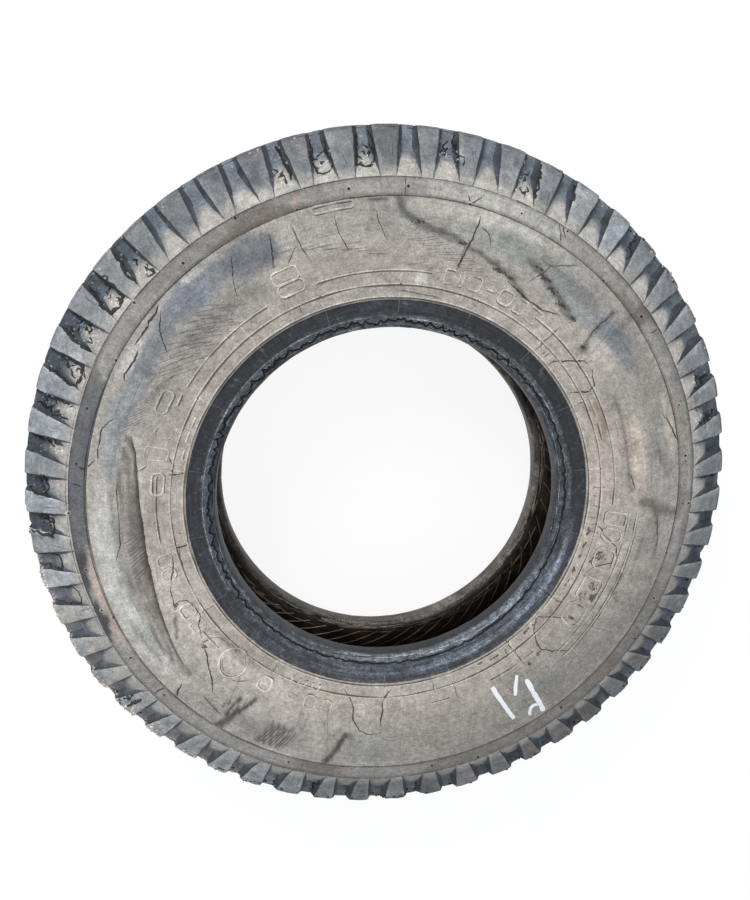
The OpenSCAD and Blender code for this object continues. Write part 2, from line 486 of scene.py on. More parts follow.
def polar(p):
    return (np.hypot(p[:, 0], p[:, 1]) / mm, np.degrees(np.arctan2(p[:, 0], p[:, 1])) % 360,
            p[:, 2] / mm - mid_h)

def place(r, phi, h):
    a = np.radians(phi)
    return np.stack([r * np.sin(a), r * np.cos(a), h + mid_h], 1) * mm

corners = read(casing.data, "position", "vector", width=3)
grip, depth, edge = (read(casing.data, k) for k in ("grip", "depth", "edge"))
r0, phi0, h0 = polar(corners)
flat0 = place(r0, phi0, h0) / mm
print("radii", round(r0.min(), 1), "to", round(r0.max(), 1), "mm")

# %% No two notches are alike
dice = np.random.default_rng(11)
notch_wide = dice.uniform(-0.07, 0.10, 2 * notch_count)
notch_lean = dice.uniform(-0.35, 0.35, 2 * notch_count)
notch_low = dice.uniform(-1.2, 1.0, 2 * notch_count)

def vary_notches(r, phi, h):
    low = h < 0
    shift = notch_start + np.where(low, pitch / 2, 0)
    n = np.round((phi - shift) / pitch)
    away = phi - shift - n * pitch
    which = n.astype(int) % notch_count + np.where(low, notch_count, 0)
    hold = grip * (1 - (2 * away / pitch) ** 2)
    turn = hold * (away * notch_wide[which] + notch_lean[which])
    ragged = grip * edge * noise(flat0, 6.5, 3) * 0.9 + grip * (depth > 0) * noise(flat0, 11, 4) * 0.9
    sunk = np.where(depth > 0.5, notch_low[which] * np.minimum(depth / 12, 1), 0)
    sunk = sunk + np.where(depth > 0.5, 1.1 * noise(flat0, 12, 5) + 0.6 * noise(flat0, 5.2, 6), 0)
    worn = edge * grip * (0.4 + 0.9 * np.maximum(0, noise(flat0, 9, 7)))
    lug = (grip > 0.95) * (depth < 0.5) * (0.3 + 0.5 * noise(flat0, 22, 8))
    move = (sunk - worn - lug) * (grip > 0.5)
    return (r + move * out[0] * 0.8, phi + turn + ragged * np.degrees(1 / r),
            h + move * out[1] * np.sign(h))

r1, phi1, h1 = vary_notches(r0, phi0, h0)
print("notch corners moved by up to", round(float(np.abs(h1 - h0).max()), 2), "mm")

# %% Chips out of the tread edge
chips = [
    (172, 183, 3.0), (204, 210, 2.6), (262, 268, 2.0), (328, 331, 1.6), (341, 349, 2.2),
    (7, 11, 2.2), (21, 25, 2.4), (47, 53, 1.6), (100, 106, 2.0), (132, 140, 1.8), (228, 236, 2.4)]

def chip(r, phi, h):
    bite = np.maximum(0, noise(flat0, 13, 21) - 0.25) * 2.2 + np.maximum(0, noise(flat0, 5.5, 22)) * 0.8
    spots = sum(size * smooth(a - 1, a + 1, phi) * smooth(b + 1, b - 1, phi) for a, b, size in chips)
    near = smooth(496, 512, r) * (np.abs(h) > 55)
    loss = near * (0.3 + 0.55 * spots) * bite + (r > 500) * 0.2 * (1 + noise(flat0, 8, 23))
    return r - loss, phi, h - np.sign(h) * near * 0.5 * loss

r2, phi2, h2 = chip(r1, phi1, h1)
print("deepest chip:", round(float((r1 - r2).max()), 2), "mm")

# %% [markdown]
# ## The fold
# The sidewall was once folded, and the fold has stayed as a long crease. From outside it slopes in
# gently and ends in a crisp step. To keep the step crisp, two rows of corners are drawn along it.

# %% The crease and a second, shorter fold
crease = dict(phi=(228, 230, 236, 245, 255, 267, 277, 284, 288, 290),
              edge=(385, 384, 376, 363, 353, 349, 354, 362, 374, 378),
              wide=(2, 3, 14, 24, 30, 31, 26, 18, 6, 2),
              deep=(0, 0.4, 3.4, 6.0, 7.6, 8.0, 7.2, 5.2, 1.0, 0), hold=(320, 414))
ridge = dict(phi=(66, 69, 73, 79, 84, 88, 90), edge=(349, 350, 350, 349, 351, 354, 356),
             wide=(8, 14, 20, 22, 18, 10, 6), deep=(0, 0.4, 1.2, 1.7, 1.2, 0.4, 0), hold=(322, 400))
upper_wall = (h0 > wall_h(r0) - 4) & (r0 > 296) & (r0 < 424.2) & (grip == 0)
wall_rows_r = np.unique(np.round(r0[upper_wall & (r0 > 297) & (r0 < 422)], 2))
half_step = 0.8

def follow_fold(r, phi, fold):
    # the two rows nearest the crease move to either side of its line, and the rest share the gap
    a, b = fold["phi"][0], fold["phi"][-1]
    line = np.interp(phi, fold["phi"], fold["edge"])
    hold = smooth(a, a + 5, phi) * smooth(b, b - 5, phi)
    n = np.searchsorted(wall_rows_r, np.median(fold["edge"]))
    inner_row, outer_row = wall_rows_r[n - 1], wall_rows_r[n]
    lo, hi = fold["hold"]
    step_in, step_out = line - half_step, line + half_step
    drawn = r.copy()
    for first, last, start, end in ((lo, inner_row, lo, step_in),
                                    (inner_row, outer_row, step_in, step_out),
                                    (outer_row, hi, step_out, hi)):
        part = (r >= first - 0.01) & (r <= last + 0.01)
        drawn = np.where(part, start + (r - first) / (last - first) * (end - start), drawn)
    return r + hold * (drawn - r)

def fold_depth(r, phi, fold):
    # 0 inside the step, deepest just outside it, and back to nothing over the fold's width
    line = np.interp(phi, fold["phi"], fold["edge"])
    wide = np.interp(phi, fold["phi"], fold["wide"])
    t = (r - line) / wide
    return np.interp(phi, fold["phi"], fold["deep"]) * np.where(t > 0, np.clip(1 - t, 0, 1) ** 1.25, 0)

r3 = r2.copy()
for fold in (crease, ridge):
    r3[upper_wall] = follow_fold(r3[upper_wall], phi2[upper_wall], fold)
print("rows drawn along the folds:", int((np.abs(r3 - r2) > 0.1).sum()), "corners")

# %% Dents and bulges of the wall
dents = [
    (33, 362, 60, 22, 1.6), (47, 352, 14, 16, 1.6), (128, 392, 60, 20, 1.0),
    (158, 352, 60, 30, 0.9), (215, 392, 36, 20, 1.3), (188, 390, 30, 26, 1.0),
    (312, 372, 70, 26, 1.3), (99, 405, 30, 14, 1.0), (348, 392, 44, 18, 0.9),
    (268, 400, 70, 10, 0.9), (8, 398, 44, 16, 1.0)]
bulges = [
    (77, 364, 34, 13, 1.6), (22, 400, 50, 12, 0.7), (255, 340, 60, 8, 0.8), (300, 350, 40, 16, 0.8),
    (145, 385, 60, 20, 0.7), (340, 345, 60, 16, 0.8), (52, 392, 40, 18, 0.8),
    (176, 345, 30, 20, 0.6)]

def hill(r, phi, a, rc, across, up):
    turn = (phi - a + 180) % 360 - 180
    return np.exp(-((np.radians(turn) * rc / across) ** 2) - ((r - rc) / up) ** 2)

def wear_wall(r, phi):
    p = place(r, phi, 0 * r) / mm
    sink = 0.9 * fractal(p, 64, 31) + 0.35 * noise(p, 13, 32)
    for a, rc, across, up, size in dents:
        sink = sink + size * hill(r, phi, a, rc, across, up)
    for a, rc, across, up, size in bulges:
        sink = sink - size * hill(r, phi, a, rc, across, up)
    for fold in (crease, ridge):
        sink = sink + fold_depth(r, phi, fold)
        line = np.interp(phi, fold["phi"], fold["edge"])
        deep = np.interp(phi, fold["phi"], fold["deep"])
        sink = sink - 0.16 * deep * np.exp(-np.abs(r - line + 2) / 9) * (r < line)
    return sink

h3 = h2.copy()
calm = smooth(297, 306, r3) * smooth(424, 416, r3)
h3[upper_wall] = wall_h(r3[upper_wall]) - (calm * wear_wall(r3, phi2))[upper_wall]
h3 = np.clip(h3, -mid_h, mid_h)
print("wall height now", round(h3[upper_wall].min(), 1), "to", round(h3[upper_wall].max(), 1))

# %% [markdown]
# ## The torn bead
# Tyre levers have torn the skin off the bead. The skin ends in saw teeth round most of the bead,
# with longer flaps in one stretch, and the layer under it lies 2 mm lower. The teeth are straight
# lines between uneven random stops, which is what torn rubber looks like.

# %% Teeth round the torn skin
tear_mid = 263
tear_round = 2 * math.pi * tear_mid

def teeth(around, seed, least, most):
    # saw teeth that swing between -1 and 1, with stops from least to most millimetres apart
    roll = np.random.default_rng(seed)
    stops = np.cumsum(roll.uniform(least, most, int(tear_round / least)))
    stops = stops[stops < tear_round - most]
    heights = roll.uniform(-1, 1, len(stops))
    heights[::2] = np.abs(heights[::2])
    heights[1::2] = -np.abs(heights[1::2])
    return np.interp(around, [0, *stops, tear_round], [0, *heights, 0])

def tooth_size(phi):
    return np.interp(phi, (0, 12, 40, 62, 75, 170, 190, 222, 235, 300, 360),
                     (6.6, 8.4, 5.4, 2.6, 1.8, 1.7, 2.0, 2.8, 4.6, 6.8, 6.6))

def tear_r(phi):
    around = np.radians(phi) * tear_mid
    jagged = tooth_size(phi) * (0.75 * teeth(around, 5, 5, 15) + 0.4 * teeth(around, 6, 3, 6))
    return np.clip(263.2 + jagged, 256.8, 267.6)

def heel_h(r):
    return np.interp(r, (252.2, 253, 255.6, 259.5, 264, 269), (79, 84.4, 88.6, 91.6, 94.2, 95.8))

r4, h4 = r3.copy(), h3.copy()
# the row's radius, its distance from the tear, its height over the bare heel
for stop, offset, skin in ((269.0, 3.4, 0.4), (265.4, 1.1, 0.9), (264.0, 0.0, 0.7), (263.4, -0.7, -1.4),
                           (259.5, -2.4, -1.0), (255.6, -4.0, -0.4)):
    here = (h0 > 0) & (np.abs(r0 - stop) < 0.05) & (grip == 0)
    torn_to = tear_r(phi2[here]) + offset
    if stop > 266:
        torn_to = np.maximum(torn_to, stop)
    elif stop < 263:
        torn_to = np.minimum(torn_to, stop)
    r4[here] = torn_to
    h4[here] = heel_h(r4[here]) + skin
skin = (h0 > 80) & (r0 < 291.5) & (r0 > 252.5)
h4[skin] += 0.35 * noise(flat0, 9, 41)[skin]
bore = (np.abs(h0) < 84.6) & (r0 < 262)
r4[bore] += 0.35 + 0.3 * noise(flat0, 14, 42)[bore]
reach = tear_r(phi2)
print("teeth reach from", round(float(reach.min()), 1), "to", round(float(reach.max()), 1))

# %% The whole tyre is a little out of round, and its tread is worn unevenly
def facing(phi, a, half):
    # 1 on the side at angle a, 0 further than half degrees from it
    return smooth(half, 0.4 * half, np.abs((phi - a + 180) % 360 - 180))

r5 = r4 - 3.2 * facing(phi2, 270, 34) * smooth(392, 424, r4) * (h4 > 0)
upper_edge = smooth(478, 505, r4) * (h4 > 30)
high = facing(phi2, 158, 72) * upper_edge
h5 = h4 + 4.5 * high
# the notch floors are worn less there, so the outline is smoother
pushed = 2.4 * facing(phi2, 250, 70) + 2.6 * facing(phi2, 62, 56)
r5 = r5 + (2.6 * high + pushed * upper_edge) * (depth > 8)

# %% Put the wear into the mesh
worn = place(r5, phi2, h5)
casing.data.attributes["position"].data.foreach_set("vector", worn.ravel())
casing.data.update()

def tidy(obj, angle=34.0):
    build = bmesh.new()
    build.from_mesh(obj.data)
    bmesh.ops.recalc_face_normals(build, faces=build.faces)
    build.to_mesh(obj.data)
    build.free()
    obj.data.shade_smooth()
    obj.data.set_sharp_from_angle(angle=math.radians(angle))
    return obj

tidy(casing)
print("casing box:", [round(v, 1) for v in (*worn.min(0) / mm, *worn.max(0) / mm)])

# %% [markdown]
# ## Colour of each place
# The rubber is black only where it's fresh. Dust has dried on the wall in a beige film, thinner
# and bluer on the lugs. So each corner of each face gets a tone from its zone, and then soft
# patches are laid over it: veils, stains and scuffs, and in places painted shade and painted
# highlights. The material reads this "tone" attribute and adds what is finer than the mesh,
# such as grain, specks and streaks.

# %% Paint helpers
def paint(r, g, b):
    # a screen colour, 0 to 255, as the light that it stands for
    c = np.array([r, g, b]) / 255
    return np.where(c <= 0.04045, c / 12.92, ((c + 0.055) / 1.055) ** 2.4)

zone_tone = dict(tread=paint(78, 79, 82), groove=paint(104, 98, 90), lug=paint(122, 126, 131),
                 flank=paint(74, 81, 90), ramp=paint(178, 174, 168), pocket=paint(76, 84, 94),
                 band=paint(150, 147, 143), wall=paint(172, 164, 156), rim=paint(70, 72, 75),
                 bead=paint(44, 48, 54), seat=paint(62, 67, 74), liner=paint(78, 62, 52),
                 under=paint(118, 113, 106))

mesh = casing.data
face_zone_of = read(mesh, "zone").astype(int)
sizes, corner_vertex = np.empty(len(mesh.polygons), int), np.empty(len(mesh.loops), int)
mesh.polygons.foreach_get("loop_total", sizes)
mesh.loops.foreach_get("vertex_index", corner_vertex)
corner_zone = np.repeat(face_zone_of, sizes)
print("face corners to paint:", len(corner_vertex))

# %% One coat of paint for each zone
class Coat:
    # the corners of one zone, with their places and the tone that each has so far
    def __init__(self, zone):
        self.index = np.unique(corner_vertex[corner_zone == zones.index(zone)])
        self.r, self.a, self.h = r4[self.index], phi2[self.index] % 360, h4[self.index]
        self.q = worn[self.index] / mm
        self.tone = np.tile(zone_tone[zone], (len(self.index), 1))

    def lay(self, colour, mask, strength=1.0):
        mask = (np.clip(mask, 0, 1) * strength)[:, None]
        self.tone = self.tone * (1 - mask) + paint(*colour) * mask

    def cloud(self, cell, seed, low=0.0, high=1.0, squash=(1, 1, 1)):
        return smooth(low, high, 0.5 + 0.5 * fractal(self.q * squash, cell, seed))

    def streaks(self, seed, low, high):
        # noise drawn out round the axis
        turn = np.radians(self.a)
        path = np.stack([60 * np.sin(turn), 60 * np.cos(turn), 4 * self.r + 3 * self.h], 1)
        return smooth(low, high, 0.5 + 0.5 * fractal(path, 8, seed))

    def blob(self, a, rc, across, up, soft=0.35, seed=50):
        # 1 inside an oval with a ragged edge, across and up in millimetres
        turn = np.radians((self.a - a + 180) % 360 - 180) * rc
        d = np.sqrt((turn / across) ** 2 + ((self.r - rc) / up) ** 2) + 0.28 * fractal(self.q, 26, seed)
        d = d + 0.24 * fractal(self.q, 8, seed + 9)
        return smooth(1 + soft, 1 - soft, d)

    def stroke(self, points, width, soft=0.5, ragged=0.35, seed=60):
        # 1 on a line through (degrees, radius) points, 0 beyond its width
        best = np.full(len(self.r), 1e9)
        x, y = self.q[:, 0], self.q[:, 1]
        line = [(r * math.sin(math.radians(a)), r * math.cos(math.radians(a))) for a, r in points]
        for (ax, ay), (bx, by) in zip(line, line[1:]):
            dx, dy = bx - ax, by - ay
            t = np.clip(((x - ax) * dx + (y - ay) * dy) / (dx * dx + dy * dy), 0, 1)
            best = np.minimum(best, np.hypot(x - ax - t * dx, y - ay - t * dy))
        return smooth(1 + soft, 1 - soft, best / (width / 2) + ragged * fractal(self.q, 14, seed)
                      + 0.3 * noise(self.q, 5.5, seed + 5))

    def between(self, a, b, soft=3.0):
        # 1 between two angles, going clockwise
        span = (b - a) % 360
        t = (self.a - a) % 360
        t = np.where(t > 180 + span / 2, t - 360, t)
        return smooth(-soft, soft, t) * smooth(span + soft, span - soft, t)

coats = {zone: Coat(zone) for zone in zones}
print({zone: len(coat.index) for zone, coat in coats.items()})

# %% Paint the wall's dust veils and dark patches
wall = coats["wall"]
wall.lay((150, 149, 144), smooth(352, 392, wall.r) * (0.35 + 0.65 * wall.cloud(90, 71)), 0.85)
wall.lay((184, 182, 175), wall.cloud(30, 72, 0.52, 0.85) * smooth(330, 420, wall.r), 0.45)
wall.lay((134, 134, 132), wall.cloud(48, 73, 0.55, 0.95) * smooth(320, 370, wall.r), 0.5)
wall.lay((134, 129, 123), wall.between(100, 186, 16) * smooth(318, 350, wall.r), 0.55)
wall.lay((150, 145, 140), wall.between(50, 100, 12) * smooth(360, 400, wall.r), 0.45)
wall.lay((134, 132, 129), wall.between(290, 330, 8) * smooth(335, 355, wall.r), 0.45)
wall.lay((200, 192, 186),
         wall.between(206, 256, 10) * smooth(352, 340, wall.r) * smooth(314, 328, wall.r), 0.5)
wall.lay((198, 190, 184), wall.cloud(16, 64, 0.6, 0.95) * smooth(360, 300, wall.r), 0.45)
wall.lay((140, 136, 131), wall.cloud(11, 63, 0.62, 0.95), 0.5)
# colour, angle, radius, size round, size out, softness, strength
patches = [
    ((188, 186, 181), 256, 402, 150, 20, 0.35, 0.85),
    ((190, 182, 176), 241, 346, 60, 16, 0.35, 0.6), ((190, 186, 178), 16, 414, 100, 10, 0.35, 0.85),
    ((144, 146, 142), 24, 392, 85, 17, 0.4, 0.8), ((134, 138, 138), 40, 380, 60, 20, 0.4, 0.8),
    ((124, 131, 136), 52, 390, 44, 15, 0.4, 0.85), ((180, 171, 165), 53, 362, 40, 13, 0.4, 0.6),
    ((139, 136, 132), 62, 352, 26, 24, 0.5, 0.5), ((190, 178, 167), 78, 366, 58, 11, 0.3, 0.9),
    ((196, 185, 174), 74, 415, 46, 7, 0.3, 0.7), ((156, 143, 130), 66, 321, 34, 10, 0.4, 0.7),
    ((140, 126, 114), 67, 328, 24, 4, 0.4, 0.7), ((200, 195, 189), 5.4, 322, 10, 7, 0.2, 0.9),
    ((196, 188, 184), 52, 362, 26, 9, 0.4, 0.5), ((136, 132, 128), 128, 404, 110, 15, 0.45, 0.6),
    ((128, 130, 129), 140, 372, 50, 22, 0.5, 0.5), ((120, 124, 126), 184, 398, 44, 16, 0.5, 0.45),
    ((134, 133, 129), 207, 398, 52, 17, 0.4, 0.7), ((146, 148, 144), 243, 398, 36, 14, 0.4, 0.5),
    ((140, 143, 146), 287, 394, 60, 16, 0.4, 0.75), ((126, 130, 137), 304, 394, 60, 16, 0.4, 0.85),
    ((120, 124, 132), 318, 402, 56, 20, 0.35, 0.9), ((112, 115, 122), 331, 398, 34, 24, 0.25, 0.9),
    ((128, 126, 124), 317, 362, 40, 12, 0.5, 0.6), ((196, 190, 184), 301, 412, 40, 8, 0.3, 0.55),
    ((196, 192, 186), 320, 418, 20, 5, 0.3, 0.6), ((126, 122, 119), 224, 322, 34, 6, 0.4, 0.55),
    ((126, 122, 119), 228.5, 316, 22, 5, 0.4, 0.55), ((120, 114, 110), 113, 333, 60, 7, 0.5, 0.35),
    ((120, 114, 110), 124, 310, 50, 9, 0.5, 0.35), ((190, 180, 171), 80, 310, 60, 12, 0.5, 0.4),
    ((142, 133, 127), 221, 306, 50, 12, 0.4, 0.6)]
for n, (colour, a, r, across, up, soft, strength) in enumerate(patches):
    wall.lay(colour, wall.blob(a, r, across, up, soft, 50 + n), strength)
print(len(patches), "patches on the wall")

# %% Stains that ran along the wall, and one line of painted shadow under a bulge
# points, width, colour, strength
runs = [
    ([(359.3, 425), (0, 412), (1, 404), (3, 395), (6, 388), (10, 384), (13, 376), (18, 368),
      (21, 362), (25, 357), (27, 352), (30, 345)], 7, (98, 96, 93), 0.85),
    ([(27, 388), (31, 380), (34, 374), (38, 366), (42, 361)], 10, (92, 89, 85), 0.85),
    ([(20, 366), (23, 361), (26, 358)], 9, (96, 90, 86), 0.7),
    ([(0, 420), (0.6, 404), (3, 394), (7, 385), (12, 378)], 10, (96, 97, 98), 0.75),
    ([(354.5, 421), (357.5, 421)], 5, (78, 78, 80), 0.8),
    ([(324, 412), (329, 400), (335, 384)], 12, (94, 98, 108), 0.6),
    ([(13.8, 380), (13.2, 345)], 4, (96, 90, 86), 0.8),
    ([(47, 408), (46.8, 385), (47.6, 362), (48.7, 350)], 6, (90, 93, 98), 0.7),
    ([(92, 420), (91.5, 402), (90.2, 386), (89.8, 374)], 15, (112, 108, 103), 0.85),
    ([(89.8, 384), (93, 395), (97, 402), (101.5, 407)], 5, (108, 104, 99), 0.85),
    ([(78, 394), (82, 400), (84, 406)], 6, (124, 117, 113), 0.7),
    # the next line is painted shadow along the foot of the bulge at 77 degrees
    ([(63, 352), (70, 351), (78, 347.5), (84, 351), (87, 355)], 6, (134, 124, 121), 0.85),
    ([(97, 379), (103, 381)], 8, (116, 111, 107), 0.6),
    ([(108, 366), (113, 366)], 5, (92, 87, 83), 0.7),
    ([(112, 369), (114.4, 379)], 4, (96, 91, 87), 0.7),
    ([(236, 402), (243, 404), (246, 408)], 4, (120, 122, 120), 0.7),
    ([(250, 390), (262, 389), (276, 392), (288, 388)], 5, (126, 128, 126), 0.7),
    ([(254, 398), (257, 392)], 4, (114, 114, 110), 0.7),
    ([(287, 394), (296, 378), (300, 376)], 6, (112, 116, 124), 0.7),
    ([(48.8, 349), (48.9, 347)], 14, (98, 92, 90), 0.8),
    ([(50, 424), (50.5, 396)], 9, (112, 112, 112), 0.6),
    ([(193.4, 420), (192, 398), (190.4, 370)], 10, (72, 65, 62), 0.95),
    ([(188.6, 386), (189.4, 368)], 8, (116, 110, 105), 0.8),
    ([(218.2, 424), (217, 405), (216, 388), (214.4, 358)], 7, (64, 62, 60), 0.95),
    ([(217, 418), (216.8, 400)], 13, (84, 83, 81), 0.8),
    ([(216.8, 402), (216.6, 380)], 4, (80, 77, 74), 0.85),
    ([(218, 399), (217.6, 368)], 5, (74, 70, 68), 0.9),
    ([(219.7, 394), (219.0, 379)], 4, (84, 80, 77), 0.9),
    ([(201, 375), (200.5, 352)], 5, (122, 116, 112), 0.7),
    ([(202.6, 375), (202, 350)], 4, (124, 118, 114), 0.7),
    ([(188, 388), (186, 372)], 7, (124, 122, 118), 0.6),
    ([(194, 378), (192, 360)], 7, (126, 122, 118), 0.6),
    ([(230, 384), (236, 378), (243, 364)], 7, (104, 100, 96), 0.6),
    ([(239, 362), (243.5, 349)], 5, (96, 90, 86), 0.75),
    ([(220, 403), (224, 396)], 6, (118, 116, 112), 0.6),
    ([(220, 314), (229, 317), (233, 316), (236, 326)], 5, (118, 110, 106), 0.6),
    ([(284.5, 362), (286, 371), (287, 379)], 6, (70, 66, 62), 0.8),
    ([(318, 411), (318.4, 390)], 12, (112, 118, 128), 0.6),
    ([(300, 384), (308, 396), (314, 410)], 9, (116, 119, 126), 0.7),
    ([(335.7, 411), (335, 390), (333.8, 371)], 4, (104, 104, 106), 0.7),
    ([(355, 412), (353.6, 384)], 6, (128, 127, 124), 0.6)]
runs += [([(a + 0.8, 418), (a - 0.6, 376)], 4, (92, 88, 84), 0.75)
         for a in (203.6, 204.8, 205.7, 206.6, 207.5, 208.4)]
for n, (points, width, colour, strength) in enumerate(runs):
    wall.lay(colour, wall.stroke(points, width, seed=80 + n), strength)
print(len(runs), "stains laid on")

# %% Paint the fold
fold_line = np.interp(wall.a, crease["phi"], crease["edge"])
fold_wide = np.interp(wall.a, crease["phi"], crease["wide"])
fold_deep = smooth(0.4, 3.2, np.interp(wall.a, crease["phi"], crease["deep"]))
t = (wall.r - fold_line) / fold_wide
# The fold's slope is painted a little darker: painted shade on the side that faces away from the light.
wall.lay((160, 154, 149), (t > -0.02) * smooth(1.08, 0.98, t) * fold_deep, 0.85)
# where across the fold (0 is the step, 1 the far side), half its width, colour, strength
bands = [(0.08, 0.16, (88, 80, 76), 0.95), (0.34, 0.10, (158, 151, 145), 0.6),
         (0.50, 0.12, (104, 98, 94), 0.7), (0.74, 0.10, (156, 150, 144), 0.6),
         (0.92, 0.09, (98, 92, 88), 0.85)]
# The first band, by the step, is painted shade in the bottom of the crease; the others are light and
# dark stripes across the slope.
for centre, half, colour, strength in bands:
    shaken = t - centre + 0.08 * fractal(wall.q, 40, 62)
    wall.lay(colour, smooth(1.5 * half, 0.4 * half, np.abs(shaken)) * fold_deep, strength)
# A pale strip just inside the step is a painted highlight on the step's lit face.
wall.lay((196, 190, 184), smooth(-10, -1, wall.r - fold_line) * (t < 0) * fold_deep, 0.6)
near_axis = np.interp(wall.a, (0, 40, 70, 100, 130, 190, 240, 262, 280, 310, 340, 360),
                      (1.06, 1.1, 1, 1.14, 1, 1.07, 1.14, 1.02, 1.12, 1.03, 1.1, 1.06))
near_band = np.interp(wall.a, (0, 20, 40, 60, 90, 120, 140, 180, 200, 220, 240, 280, 320, 345, 360),
                      (0.95, 1, 0.90, 0.93, 0.97, 0.96, 0.93, 1.12, 1.1, 0.98, 1.24, 1.13, 1.06,
                       0.95, 0.95))
wall.tone *= (near_axis + (near_band - near_axis) * smooth(365, 392, wall.r))[:, None]
print("fold painted")

# %% Paint the plain band
band = coats["band"]
band.lay((114, 111, 106), band.between(108, 175, 10), 0.75)
band.lay((184, 182, 176), band.between(8, 32, 7), 0.8)
band.lay((128, 114, 106), band.blob(47.5, 430, 22, 9), 0.7)
band.lay((112, 103, 98), band.between(49.7, 52.8, 0.4), 0.9)
band.lay((118, 104, 97), band.between(124, 135, 1.5), 0.6)
band.lay((112, 101, 96), band.between(189, 200, 2.5), 0.7)
band.lay((188, 173, 160), band.between(242, 265, 2) * smooth(444, 434, band.r), 0.85)
band.lay((124, 125, 128), band.between(263, 293, 3), 0.9)
band.lay((78, 84, 96), band.between(282, 290, 2) * smooth(438, 430, band.r), 0.7)
wedge = 448 - np.interp(band.a, (244, 249, 254, 265, 272, 294, 298), (0, 14, 3, 18, 26, 26, 4))
band.lay((84, 86, 92), smooth(-2, 3, band.r - wedge) * band.between(262, 297, 2), 0.7)
band.lay((54, 56, 62), smooth(-1, 2, band.r - wedge) * band.between(244, 263, 1), 0.9)
band.lay((114, 105, 97), band.between(331, 337.5, 0.8), 0.85)
band.lay((126, 124, 121), band.between(308, 350, 5), 0.6)
dark_top = np.interp(band.a, (325, 337, 343), (430, 446, 430))
band.lay((106, 97, 90), band.between(325, 343, 1) * smooth(3, -3, band.r - dark_top), 0.75)
band.lay((174, 156, 142), band.blob(342, 437, 10, 6, 0.4), 0.6)
band.lay((160, 144, 132), band.blob(74, 431, 60, 7, 0.5), 0.55)
band.lay((92, 84, 78), band.blob(90, 431, 24, 7, 0.5), 0.65)
band.lay((104, 104, 103), band.blob(62, 444, 60, 5, 0.4) + band.blob(100, 445, 70, 4, 0.4), 0.4)
band.lay((128, 120, 113), band.cloud(22, 74, 0.6, 0.9), 0.35)
band.lay((104, 102, 100), band.cloud(9, 61, 0.62, 0.9), 0.45)
# Dark lines along both edges of the band are painted shadow, where the band lies lower than the lugs
# and the wall.
band.lay((100, 98, 97), smooth(445.5, 448.8, band.r), 0.45)
band.lay((70, 68, 67), smooth(427.2, 425.4, band.r), 0.6)
print("band painted")

# %% Paint the lugs and the notches
lug_light = np.random.default_rng(23).uniform(0.82, 1.20, notch_count)

def lug_lightness_and_painted_shade(coat, centre):
    # each lug or notch has its own lightness, and the lugs on the side away from the light, from about
    # 100 to 200 degrees, get painted shade
    turn = np.where(coat.h > 0, 0, pitch / 2) + notch_start + centre * pitch
    which = np.floor((coat.a - turn) / pitch).astype(int) % notch_count
    # away is painted shade: 1, down to 0.58 between about 100 and 200 degrees, on the side away from
    # the light
    away = 1 - 0.42 * smooth(85, 120, coat.a) * smooth(215, 180, coat.a)
    return lug_light[which], away

